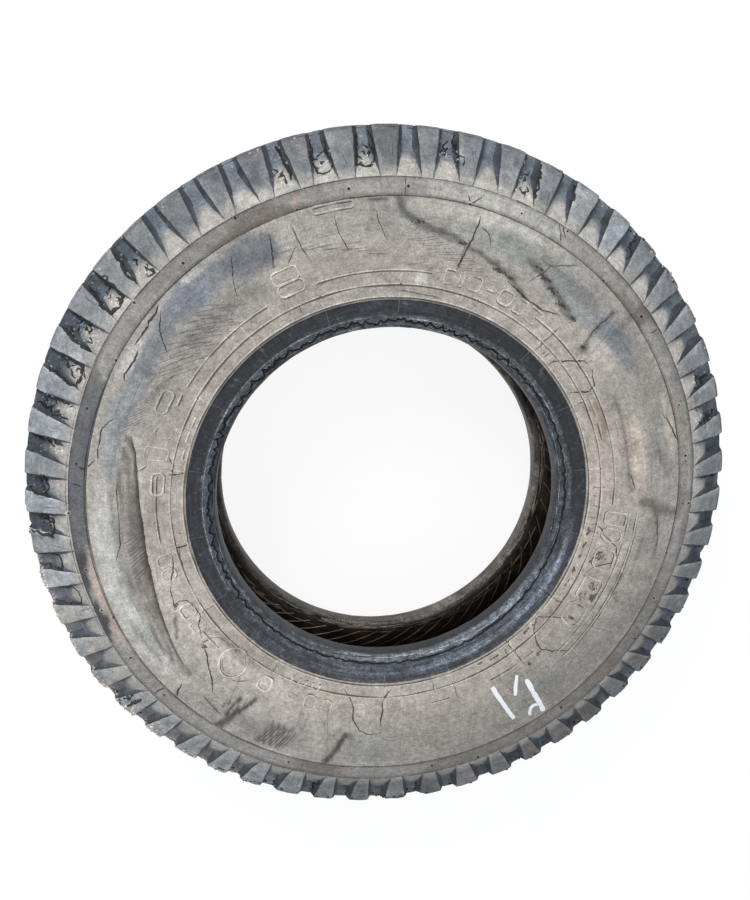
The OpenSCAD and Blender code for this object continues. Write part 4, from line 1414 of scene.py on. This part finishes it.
# centre, left side, right side, foot, whether it crosses the ramp, width
torn = [
    (267.9, -2.2, 1.6, 474, True, 2.8), (274.5, -2.0, 1.7, 478, True, 2.8),
    (281.2, 1.3, -1.3, 454, False, 3.0), (287.9, -1.4, 1.6, 455, False, 2.6),
    (287.9, 1.2, 1.6, 456, False, 2.2), (294.5, -2.0, 1.9, 456, True, 3.0),
    (301.2, -2.3, 1.5, 455, False, 3.4), (301.2, 1.6, 1.5, 470, False, 3.0),
    (307.9, -1.7, 1.7, 457, True, 3.6), (314.5, -2.0, 1.5, 455, False, 3.6),
    (254.5, -1.6, 1.6, 460, True, 1.2), (261.2, -1.6, 1.2, 472, True, 2.0),
    (341.2, 1.4, 1.6, 460, False, 3.4), (347.9, -1.5, 1.3, 459, True, 2.2),
    (354.5, -1.4, 1.8, 462, True, 2.4), (7.9, 1.3, 1.0, 466, False, 2.6),
    (21.2, 1.9, 1.4, 458, False, 3.2), (27.9, 1.5, 1.5, 474, False, 2.0),
    (41.2, 1.6, 1.2, 470, False, 1.6), (67.9, 1.5, 1.2, 466, False, 2.2),
    (74.5, 1.3, 1.2, 466, False, 2.2), (87.9, -1.5, 1.2, 468, False, 2.0),
    (194.5, -1.6, 1.0, 470, False, 1.6), (231.5, -0.3, 1.0, 499, False, 3.0)]
tear_dice, tear_lines, chip_at = np.random.default_rng(83), [], []
for n, (centre, left, right, foot, across, width) in enumerate(torn):
    phi, r = trace(notch_tear(centre, left, right, foot, across), 1.5, 2.2, 700 + 9 * n)
    p = drop(phi, np.minimum(r, 512), 0.1)
    tear_lines.append((p, 1.6 * width * taper(len(p), 0.5) * (0.85 + 0.6 * noise(p / mm, 4, n)), False))
    for k in range(4 if width > 2.1 else 0):
        a, r = centre + tear_dice.uniform(-1.5, 1.5), tear_dice.uniform(min(foot + 8, 490), 506)
        bend = [(a, r), (a + tear_dice.uniform(-1, 1), r - tear_dice.uniform(4, 13)),
                (a + tear_dice.uniform(-1, 1), r - tear_dice.uniform(-4, 18))]
        phi, r = trace(bend, 1.5, 2.6, 950 + 9 * n + k)
        p = drop(phi, np.minimum(r, 511), 0.1)
        uneven = 0.8 + 0.9 * noise(p / mm, 4, n)
        tear_lines.append((p, 0.8 * width * taper(len(p), 0.3) * uneven, False))
        chip_at += list(zip(centre + tear_dice.uniform(-1.6, 1.6, 4),
                            tear_dice.uniform(min(foot + 2, 490), 503, 4)))
lay_lines("notch_tears", tear_lines, 1.0, 1.0, crack_rubber, 0.10, sides=6)

# %% Dark lines down both edges of each notch: painted shade on its side walls
edge_lines = []
for k in range(notch_count):
    for way in (-1, 1):
        s = np.linspace(4, 68, 30)
        r = band_out[0] + s * down[0]
        mouth = notch_mouth(0) - (notch_mouth(0) - notch_mouth(70)) * s / 70
        away = way * np.degrees((mouth - 0.4) / r)
        turn = (1 - (2 * away / pitch) ** 2) * (away * notch_wide[k] + notch_lean[k])
        phi = notch_start + k * pitch + away + turn
        p = drop(phi, r, 0.0)
        uneven = np.clip(0.75 + 0.9 * noise(p / mm, 24, 75 + way), 0.15, 1.5)
        edge_lines.append((p, taper(30, 0.3) * uneven, False))
lay_lines("notch_edge_painted_shade", edge_lines, 1.5, 0.6, crack_rubber, 0.3, sides=4)

# %% Thin slits that run across the lugs from notch to notch
slits = []
slit_dice = np.random.default_rng(31)
for n in range(46):
    a = notch_start + pitch * (slit_dice.integers(0, 54) + 0.5) + slit_dice.uniform(-1.2, 1.2)
    far = slit_dice.uniform(462, 508)
    end = (a + slit_dice.uniform(-0.7, 0.7), far - slit_dice.uniform(8, 26))
    slits.append(([(a, far), end], 0.9))
lay_lines("lug_slits", strokes_to_lines(slits, 2.0, 0.8, 900, 0.03), 1.3, 0.4, rubber, 0.5, sides=4)

# %% [markdown]
# ## Vent pips
# Air leaves the mould through small holes, and rubber follows it. Each hole leaves a pip on the
# band, in a pale ring that is a painted highlight. Node trees set one small dome on every stop.

# %% Where the pips are
pips = [(a, 437) for a in (1.3, 21.7, 51.4, 70.4, 80.7, 81.8, 90.5, 111, 141, 170.7, 200.7, 229.9,
                           240, 251, 259.5, 279.7, 290, 320.5, 351.2)]
pips += [(a, 446.5) for a in (30.5, 90.5, 120.3, 161, 270.5, 310, 331.8)]
pips += [(a, 425.6) for a in (12.4, 41.3, 49.8, 71.7, 101, 130.5, 189.5, 249, 300, 341.8)]

def dots_tree():
    tree, given, result = new_tree("Domes on points", Radius="NodeSocketFloat",
                                   Flat="NodeSocketFloat", Spread="NodeSocketFloat",
                                   Seed="NodeSocketInt", Rubber="NodeSocketMaterial")
    ball = node(tree, "GeometryNodeMeshIcoSphere", Radius=given.outputs["Radius"], Subdivisions=2)
    squash = node(tree, "ShaderNodeCombineXYZ", X=1.0, Y=1.0, Z=given.outputs["Flat"])
    dome = node(tree, "GeometryNodeTransform", Geometry=ball.outputs[0], Scale=squash.outputs[0])
    size = node(tree, "FunctionNodeRandomValue", {"data_type": "FLOAT"},
                i_2=sums(tree, "SUBTRACT", 1.0, given.outputs["Spread"]),
                i_3=sums(tree, "ADD", 1.0, given.outputs["Spread"]), Seed=given.outputs["Seed"])
    points = node(tree, "GeometryNodeMeshToPoints", Mesh=given.outputs["Geometry"])
    put = node(tree, "GeometryNodeInstanceOnPoints", Points=points.outputs[0], Instance=dome.outputs[0],
               Scale=size.outputs[1])
    return end_tree(tree, given, result, put.outputs[0])

dots = dots_tree()

def lay_dots(name, points, radius, flat, spread, seed, material, factor, add=(0, 0, 0)):
    obj = point_object(name, points)
    bake_nodes(obj, dots, Radius=radius * mm, Flat=flat, Spread=spread, Seed=seed, Rubber=material)
    obj.data.shade_smooth()
    tint(obj, factor, add)
    pieces.append(obj)
    print(name, len(points), "domes")

def dropped(stops, lift):
    return drop(*np.array(stops).T, lift)

# name, places, radius in mm, flatness, spread of sizes, seed, rubber, tone
# the pale rims round the pips are a painted highlight
lay_dots("vent_rim_highlights", dropped(pips, -0.1), 3.4, 0.13, 0.3, 3, rubber, 1.25)
lay_dots("vent_pips", dropped(pips, 0.25), 1.9, 0.35, 0.25, 4, crack_rubber, 0.10)
knots = [(a, r) for a in cross_angles for r in (296.0, 313.2)]
lay_dots("ring_knots", dropped(knots, 0.2), 1.5, 0.4, 0.4, 5, crack_rubber, 0.3)
lay_dots("pale_chips", dropped(chip_at, 0.0), 1.5, 0.5, 0.6, 6, rubber, 1.5, (0.06, 0.06, 0.06))

# %% Black blots, where the wall has rubbed and picked up tar
# degrees, radius, spread round, spread out, how many
blots = [
    (99.5, 303.5, 6, 2.4, 30), (103.6, 303, 6, 1.6, 18), (107, 303, 6, 1.2, 8),
    (111.5, 302.5, 5, 1.6, 14), (116.5, 303, 12, 1.0, 14), (105, 330, 8, 7, 34),
    (107.5, 322, 8, 3, 14), (113.5, 340, 7, 5, 26), (116, 345, 7, 4, 26), (117, 332, 7, 6, 14),
    (119.5, 337, 3, 5, 14), (123.6, 336, 2.5, 6, 22), (136.5, 338, 4, 2, 10), (140, 341, 4, 3, 10),
    (131.5, 302, 6, 1.6, 14), (135, 300.5, 7, 1.4, 12), (147, 303.5, 9, 1.5, 18),
    (151.3, 300, 4, 1, 6), (232.8, 343, 5, 2, 14), (240.3, 315, 1.4, 1, 4),
    (259.8, 314, 1.8, 1.2, 5), (259.8, 297.5, 1.4, 1, 4), (279.7, 314, 1.6, 1.4, 5),
    (245.5, 342, 3, 3, 10), (22.5, 359, 9, 2.4, 34), (25, 357, 6, 2, 14), (29.5, 386, 8, 1.6, 14),
    (31.5, 379, 7, 3, 20), (34.5, 372, 9, 2.6, 24), (38, 365, 9, 2.4, 26), (41.5, 362, 6, 2, 12),
    (13, 376, 8, 2, 12), (4, 394, 10, 2, 10), (48.8, 348, 3.4, 3, 14), (224, 311, 9, 1.5, 12),
    (226, 318, 6, 3, 10)]
blot_dice = np.random.default_rng(47)
blot_at = []
for a, r, round_, out_, count in blots:
    blot_at += list(zip(a + np.degrees(blot_dice.normal(0, 0.5 * round_, count) / r),
                        r + blot_dice.normal(0, 0.5 * out_, count)))
lay_dots("tar_blots", dropped(blot_at, -0.05), 1.3, 0.22, 0.6, 9, crack_rubber, 0.3)

# %% [markdown]
# ## Moulded panels
# The wall carries raised panels in its lower half. On this part they are plain: frames, bars and
# ovals with nothing in them, so it names no maker. Wear has nearly flattened some of them.

# %% Outlines of the panels
def frame_line(a, b, lo, hi, corner=3.0, n=5):
    # a rounded frame between two angles and two radii
    mid = (lo + hi) / 2
    turn = math.degrees(corner / mid)
    points = []
    for ca, cr, start in ((b - turn, hi - corner, 0), (b - turn, lo + corner, 90),
                          (a + turn, lo + corner, 180), (a + turn, hi - corner, 270)):
        for k in range(n + 1):
            t = math.radians(start + 90 * k / n)
            points.append((ca + turn * math.sin(t), cr + corner * math.cos(t)))
    return points

# first angle, last angle, inner radius, outer radius, corner, strength
frames = [
    (332.3, 338.4, 330, 346, 6, 1.0), (332.3, 338.0, 347, 364, 5, 1.0),
    (344.2, 351.6, 414.5, 423.2, 4, 1.0), (11, 13.4, 322, 341, 3, 0.7),
    (14.6, 15.6, 322, 341, 1.6, 0.6), (16.8, 20, 322, 341, 5, 0.7), (25, 28.4, 322, 341, 6, 0.8),
    (29.6, 32, 322, 341, 2, 0.7), (33.2, 36.4, 322, 341, 2, 0.7), (93, 96.4, 323, 352, 4, 0.9),
    (97.4, 100.8, 323, 350, 9, 0.8), (103, 108.6, 323, 350, 8, 1.0),
    (111.6, 117.8, 323, 350, 4, 0.9), (119.2, 125.6, 323, 349, 10, 0.9),
    (186.5, 188.8, 323, 343, 2, 0.5), (195.4, 197.9, 324, 341, 6, 0.5),
    (199.8, 202.8, 323.5, 342.5, 7, 1.0), (205.2, 207.6, 330, 336, 2, 0.5),
    (212.5, 216.1, 323, 342.5, 7, 1.1), (237, 239.6, 322, 341, 2, 0.6),
    (241, 244.6, 322, 341, 6, 0.9), (252, 255.2, 323, 341, 8, 0.7), (256, 258.8, 322, 341, 6, 0.9),
    (274.3, 279.8, 322, 338, 6, 1.1), (283, 286, 322, 352, 4, 0.6), (288.5, 291, 324, 346, 5, 0.6),
    (294, 299.5, 341, 356, 6, 1.0)]
bars = [
    ((200, 305), (200.2, 314)), ((202, 305), (202.2, 314)), ((204, 305), (204.3, 314)),
    ((206, 305), (206.2, 314)), ((208, 305), (208.3, 314)), ((21.6, 331), (23.6, 331)),
    ((61, 321), (66, 321)), ((68, 321), (73, 321)), ((284, 303), (287, 303)),
    ((288.5, 303.5), (292, 303.5)), ((293, 303), (296, 303)), ((297, 332), (300, 333)),
    ((281.5, 348), (280.4, 356))]
panel_lines = []
for n, (a, b, lo, hi, corner, strength) in enumerate(frames):
    phi, r = trace(frame_line(a, b, lo, hi, corner), 2.0, 0.2, 1100 + n, closed=True)
    p = drop(phi[:-1], r[:-1], 0.1)
    panel_lines.append((p, strength * (0.8 + 0.5 * noise(p / mm, 12, n)), True))
panel_lines += strokes_to_lines([(bar, 0.9) for bar in bars], 2.0, 0.2, 1200, 0.1, 0.4)
# two long lines over the panels
phi = np.linspace(92.5, 133.0, 130)
for radius in (355.0, 365.5):
    r = radius + 0 * phi
    uneven = 0.7 + 0.6 * noise(place(r, phi, 0 * r) / mm, 20, 9)
    panel_lines.append((drop(phi, r, 0.05), 0.8 * uneven, False))
# two circles of the roundel
roundel_r, roundel_at = 333, math.radians(224.5)
t = np.linspace(0, 2 * math.pi, 66)[:-1]
for radius, strength in ((21.0, 1.5), (17.5, 0.6)):
    x = roundel_r * math.sin(roundel_at) + radius * np.sin(t)
    y = roundel_r * math.cos(roundel_at) + radius * np.cos(t)
    p = drop(np.degrees(np.arctan2(x, y)), np.hypot(x, y), 0.1)
    panel_lines.append((p, strength * (0.8 + 0.5 * noise(p / mm, 14, 8)), True))
# the panel ridges are tinted lighter than the wall: a painted highlight
lay_lines("moulded_panels", panel_lines, 2.9, 1.6, rubber, 1.42, sides=6)
# a dark line of painted shade along the foot of each panel line
shade_lines = []
for p, w, closed in panel_lines:
    r, phi, _ = polar(p)
    uneven = np.clip(0.7 + 0.8 * noise(p / mm, 18, 12), 0.1, 1.3)
    shade_lines.append((drop(phi, r - 1.9, 0.03), w * uneven, closed))
lay_lines("painted_shade_by_panels", shade_lines, 2.5, 0.4, rubber, 0.28, sides=4)

# %% [markdown]
# ## Chalk marks
# A yard hand has marked the wall in chalky white paint: three straight strokes and a short hook.
# They are thin, with uneven edges, and the wall's grain shows through the paint.

# %% White strokes
strokes = [
    ([(144.3, 420), (143.9, 400), (143.6, 378), (143.1, 356)], 8.5),
    ([(147.2, 413), (146.9, 406), (146.2, 400.5), (145.3, 399), (144.4, 402)], 5.5),
    ([(147.5, 368), (146.2, 357), (144.3, 344)], 8.5),
    ([(150.6, 403), (150.9, 385), (151.2, 365), (151.6, 340)], 8.0)]
chalk = bpy.data.materials.new("white yard paint")
chalk.use_nodes = True
chalk_nodes = chalk.node_tree
chalk_where = node(chalk_nodes, "ShaderNodeTexCoord").outputs["Object"]
chalk_grain = grain(chalk_nodes, chalk_where, 420, 4, 0.7)
chalk_colour = mix(chalk_nodes, (0.82, 0.84, 0.89), (0.50, 0.50, 0.53),
                   ramp_between(chalk_nodes, chalk_grain, 0.56, 0.70, 0, 0.7))
chalk_shader = chalk_nodes.nodes["Principled BSDF"]
chalk_nodes.links.new(chalk_colour, chalk_shader.inputs["Base Color"])
chalk_lift = node(chalk_nodes, "ShaderNodeBump", Strength=0.5, Distance=0.0006, Height=chalk_grain)
chalk_nodes.links.new(chalk_lift.outputs[0], chalk_shader.inputs["Normal"])
chalk_shader.inputs["Roughness"].default_value = 0.7
stroke_lines = []
for n, (points, width) in enumerate(strokes):
    p = traced(points, 1.6, 0.25, 1300 + n, 0.12)
    t = np.linspace(0, 1, len(p))
    ends = np.clip(np.minimum(t, 1 - t) * 30, 0.75, 1)
    stroke_lines.append((p, width * ends * (0.92 + 0.16 * noise(p / mm, 5, 1300 + n)), False))
lay_lines("chalk_strokes", stroke_lines, 1.0, 0.07, chalk, None, sides=10)

# %% [markdown]
# ## Ragged edges
# The tread edge has shed crumbs of rubber, pale where they're dusty and black where they're fresh.
# The torn bead has a dark slot under its skin, and strands of rubber hang along it. They are laid
# on like the cracks.

# %% Crumbs on the tread edge
crumb_dice = np.random.default_rng(41)

def crumbs(a, b, count, lo=505.0, hi=515.5):
    phi, r = (crumb_dice.uniform(*span, count) for span in ((a, b), (lo, hi)))
    return drop(phi, r)

# first angle, last angle, how many, and the radii where they are not the usual ones
pale_spans = [(200, 262, 230, 508, 516), (224, 240, 60), (252, 262, 50), (30, 70, 30),
              (290, 345, 30)]
black_spans = [(172, 183, 40), (186, 214, 60), (228, 236, 18), (100, 168, 50),
               (262, 290, 14, 511, 516), (40, 60, 10, 511, 516)]
pale_crumbs = np.vstack([crumbs(*span) for span in pale_spans])
black_crumbs = np.vstack([crumbs(*span) for span in black_spans])
lay_dots("pale_crumbs", pale_crumbs, 1.5, 0.7, 0.6, 7, rubber, 1.1, (0.20, 0.155, 0.135))
lay_dots("black_crumbs", black_crumbs, 1.5, 0.7, 0.6, 8, crack_rubber, 0.2)
edge_arcs = [(268, 285), (288, 300), (303, 322), (326, 339), (342, 355), (357, 372), (375, 395),
             (40, 58), (62, 84), (88, 100)]
rim_lines = []
for k, (a, b) in enumerate(edge_arcs):
    p, _ = ring_line(512.6, a, b, 0.0, 1.6, 70 + k)
    rim_lines.append((p, taper(len(p), 0.2) * np.clip(0.6 + noise(p / mm, 9, 71), 0.1, 1.4), False))
lay_lines("worn_edge_lines", rim_lines, 1.5, 0.5, crack_rubber, 0.4, sides=4)

# %% The slot under the torn skin, and its pale lip
phi = np.linspace(0, 360, 1100, endpoint=False)
# the slot's black is dark rubber and painted shadow under the torn skin
slot_p = drop(phi, tear_r(phi) - 0.5, 0.25)
slot_width = np.clip(0.45 + 0.13 * tooth_size(phi) + 0.5 * noise(slot_p / mm, 6, 51), 0.3, 1.7)
lay_lines("torn_bead_slot", [(slot_p, slot_width, True)], 3.1, 1.0, crack_rubber, 0.05, sides=6)
lip_p = drop(phi, tear_r(phi) + 1.1, 0.05)
lip_width = np.clip(0.35 + 0.75 * noise(lip_p / mm, 16, 52) + 0.35 * noise(lip_p / mm, 5, 53), 0.1, 1.1)
lay_lines("torn_bead_lip", [(lip_p, lip_width, True)], 1.5, 0.8, bead_rubber, 2.2, sides=4)
# light lines below the tear are a painted highlight along its lower side
bead_highlight_lines = []
for n, (r, a, b) in enumerate(((269.6, 238, 354), (265.6, 33, 62), (266.5, 4, 14))):
    p, _ = ring_line(r, a, b, 0.2, 0.6, 81 + n)
    bead_highlight_lines.append((p, taper(len(p), 0.2) * (0.85 + 0.3 * noise(p / mm, 12, 84)), False))
lay_lines("bead_painted_highlight_line", bead_highlight_lines, 1.5, 0.9, bead_rubber, 2.2, sides=6, add=(0.10, 0.115, 0.13))

# %% Strands that hang along the bead under the tear
def strand_lines(count, lo, hi, seed):
    made = []
    for k in range(count):
        a, span = 360 * spread(k), 6 + 20 * spread(k, 0.37)
        r_at = lo + (hi - lo) * spread(k, 0.53)
        line = np.linspace(a, a + span, int(span * 1.6))
        radius = r_at + 0.8 * noise(place(r_at + 0 * line, line, 0 * line) / mm, 18, seed + k)
        made.append((drop(line, radius, 0.0), 0.9 * taper(len(line), 0.2), False))
    return made

lay_lines("bead_strands", strand_lines(70, 254.0, 262.4, 60), 1.3, 0.7, bead_rubber, 2.1, sides=4,
          add=(0.04, 0.045, 0.052))
lay_lines("bead_splits", strand_lines(76, 254.2, 263.4, 160), 1.3, 0.5, crack_rubber, 0.2, sides=4)

# %% [markdown]
# ## The inside
# Cords under the liner show as thin slanting ridges. One ridge is a line up the inner wall, from
# the toe to the crown. A node tree sweeps it and sets copies of it round the axis.

# %% Cord ridges inside
def ridge_tree():
    tree, given, result = new_tree("Ridges round the inside", Count="NodeSocketInt",
                                   Radius="NodeSocketFloat", Rubber="NodeSocketMaterial")
    curve = node(tree, "GeometryNodeMeshToCurve", Mesh=given.outputs["Geometry"])
    section = node(tree, "GeometryNodeCurvePrimitiveCircle", Resolution=5,
                   Radius=given.outputs["Radius"])
    swept = node(tree, "GeometryNodeCurveToMesh", Curve=curve.outputs[0], i_1=section.outputs[0],
                 i_3=True)
    return end_tree(tree, given, result, copies_round(tree, given, swept.outputs[0], 2 * math.pi))

inside_wall = [p for p in inner if p[0] > 262]
path = [(r, -h) for r, h in inside_wall] + [(inner_crown, 0.0)] + inside_wall[::-1][:9]
path_r, path_h = np.array(path).T
path_h = path_h + np.where(path_h < 0, bead_lift * rise(path_r), 0)
lean = 2.2
ridge_points = place(path_r, lean * np.arange(len(path)), path_h)
cord_ridges = point_object("cord_ridges", ridge_points, [(i, i + 1) for i in range(len(path) - 1)])
bake_nodes(cord_ridges, ridge_tree(), Count=58, Radius=1.0 * mm, Rubber=liner_rubber)
cord_ridges.data.shade_smooth()
tint(cord_ridges, 2.4, (0.20, 0.145, 0.105))
pieces.append(cord_ridges)
print("cord ridges:", len(cord_ridges.data.polygons), "faces")

# %% Streaks round the lower bead
def low_h(r):
    # the height of the inner wall just above the lower bead
    return bead_lift * rise(r) - np.interp(r, *np.array(inner[3:15]).T)

def low_streaks(count, seed):
    made = []
    for k in range(count):
        a, span = 360 * spread(k), 14 + 40 * spread(k, 0.37)
        r_at = 257 + 30 * spread(k, 0.53, 0.1) ** 1.3
        line = np.linspace(a, a + span, int(span * 1.6))
        shake = noise(place(r_at + 0 * line, line, 0 * line) / mm, 16, seed + k)
        radius = np.maximum(r_at + 1.4 * shake, 256)
        p = place(radius, line, low_h(radius) + 0.3)
        made.append((p, taper(len(line), 0.2) * (1 + 0.6 * noise(p / mm, 9, seed)), False))
    return made

lay_lines("low_strands", low_streaks(64, 300), 1.7, 0.9, liner_rubber, 1.7, sides=4,
          add=(0.10, 0.09, 0.08))
lay_lines("low_splits", low_streaks(60, 400), 1.7, 0.9, crack_rubber, 0.2, sides=4)

# %% [markdown]
# ## Hand the pieces to the frame
# There is one body, and the casing stands for the CAD's one solid. Sweeps can come out with faces
# turned inwards, so every piece is checked and turned outwards first.

# %% Ride and replace
for piece in pieces[1:]:
    tidy(piece, 60)
for piece in pieces:
    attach(piece, "root")
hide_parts("tyre")
triangles = sum(len(f.vertices) - 2 for p in pieces for f in p.data.polygons)
print(len(pieces), "pieces,", triangles, "triangles")

# %% [markdown]
# ## Camera
# The tyre lies on the floor and the camera looks down on it, a little tilted, from 1.3 m.

# %% The camera
lens = bpy.data.cameras.new("camera")
lens.sensor_fit, lens.sensor_width, lens.lens = "HORIZONTAL", 36, 37.63
camera = bpy.data.objects.new("camera", lens)
camera.location = (-0.155, 0.370, mid_h * mm + 1.168)
turn = Vector((-0.263, -0.118, 0.0))
camera.rotation_mode = "AXIS_ANGLE"
camera.rotation_axis_angle = (turn.length, *turn.normalized())
scene.collection.objects.link(camera)
scene.camera = camera
print("camera height above the floor:", round(camera.location.z, 3), "m")

# %% [markdown]
# ## Floor and light
# The floor is white for the camera but a plain grey for the light that it throws back, so it
# stays a clean background and still takes the tyre's shadow. The light is an overcast sky with
# a soft key lamp from the top of the view and a weak fill lamp from the other side.

# %% The floor
def split_by_ray(tree, lit, shown, output):
    # lit is what lights the tyre, and shown is what the camera and the reflections see
    path = node(tree, "ShaderNodeLightPath")
    seen = sums(tree, "MAXIMUM", path.outputs["Is Camera Ray"], path.outputs["Is Glossy Ray"])
    choice = node(tree, "ShaderNodeMixShader", i_0=seen, i_1=lit.outputs[0], i_2=shown.outputs[0])
    node(tree, output, Surface=choice.outputs[0])

floor_mesh = bpy.data.meshes.new("floor")
half = 6
floor_mesh.from_pydata([(-half, -half, 0), (half, -half, 0), (half, half, 0), (-half, half, 0)], [],
                       [(0, 1, 2, 3)])
floor = bpy.data.objects.new("floor", floor_mesh)
scene.collection.objects.link(floor)
pale = bpy.data.materials.new("pale floor")
pale.use_nodes = True
tree = pale.node_tree
tree.nodes.clear()
plain = node(tree, "ShaderNodeBsdfDiffuse", Color=(0.42, 0.42, 0.42, 1))
glow = node(tree, "ShaderNodeEmission", Color=(1, 1, 1, 1), Strength=0.89)
shadowed = node(tree, "ShaderNodeBsdfDiffuse", Color=(0.14, 0.14, 0.14, 1))
both = node(tree, "ShaderNodeAddShader", i_0=glow.outputs[0], i_1=shadowed.outputs[0])
split_by_ray(tree, plain, both, "ShaderNodeOutputMaterial")
floor_mesh.materials.append(pale)
print("floor", 2 * half, "m across")

# %% World and lamps
world = bpy.data.worlds.new("sky")
scene.world = world
world.use_nodes = True
tree = world.node_tree
tree.nodes.clear()
dome = node(tree, "ShaderNodeBackground", Color=(0.93, 0.97, 1.0, 1), Strength=0.62)
white = node(tree, "ShaderNodeBackground", Color=(1, 1, 1, 1), Strength=1.0)
split_by_ray(tree, dome, white, "ShaderNodeOutputWorld")

middle = Vector((0, 0, 0.12))

def lamp(name, at, size, power, colour=(1, 1, 1)):
    light = bpy.data.lights.new(name, "AREA")
    light.shape, light.size, light.energy, light.color = "DISK", size, power, colour
    obj = bpy.data.objects.new(name, light)
    obj.location = at
    obj.rotation_mode = "QUATERNION"
    obj.rotation_quaternion = (middle - Vector(at)).to_track_quat("-Z", "Y")
    scene.collection.objects.link(obj)

lamp("key", (-1.1, 2.3, 2.1), 1.3, 62, (1.0, 0.985, 0.96))
lamp("fill", (1.8, -1.6, 2.6), 2.5, 14, (0.95, 0.97, 1.0))
scene.view_settings.view_transform = "Standard"
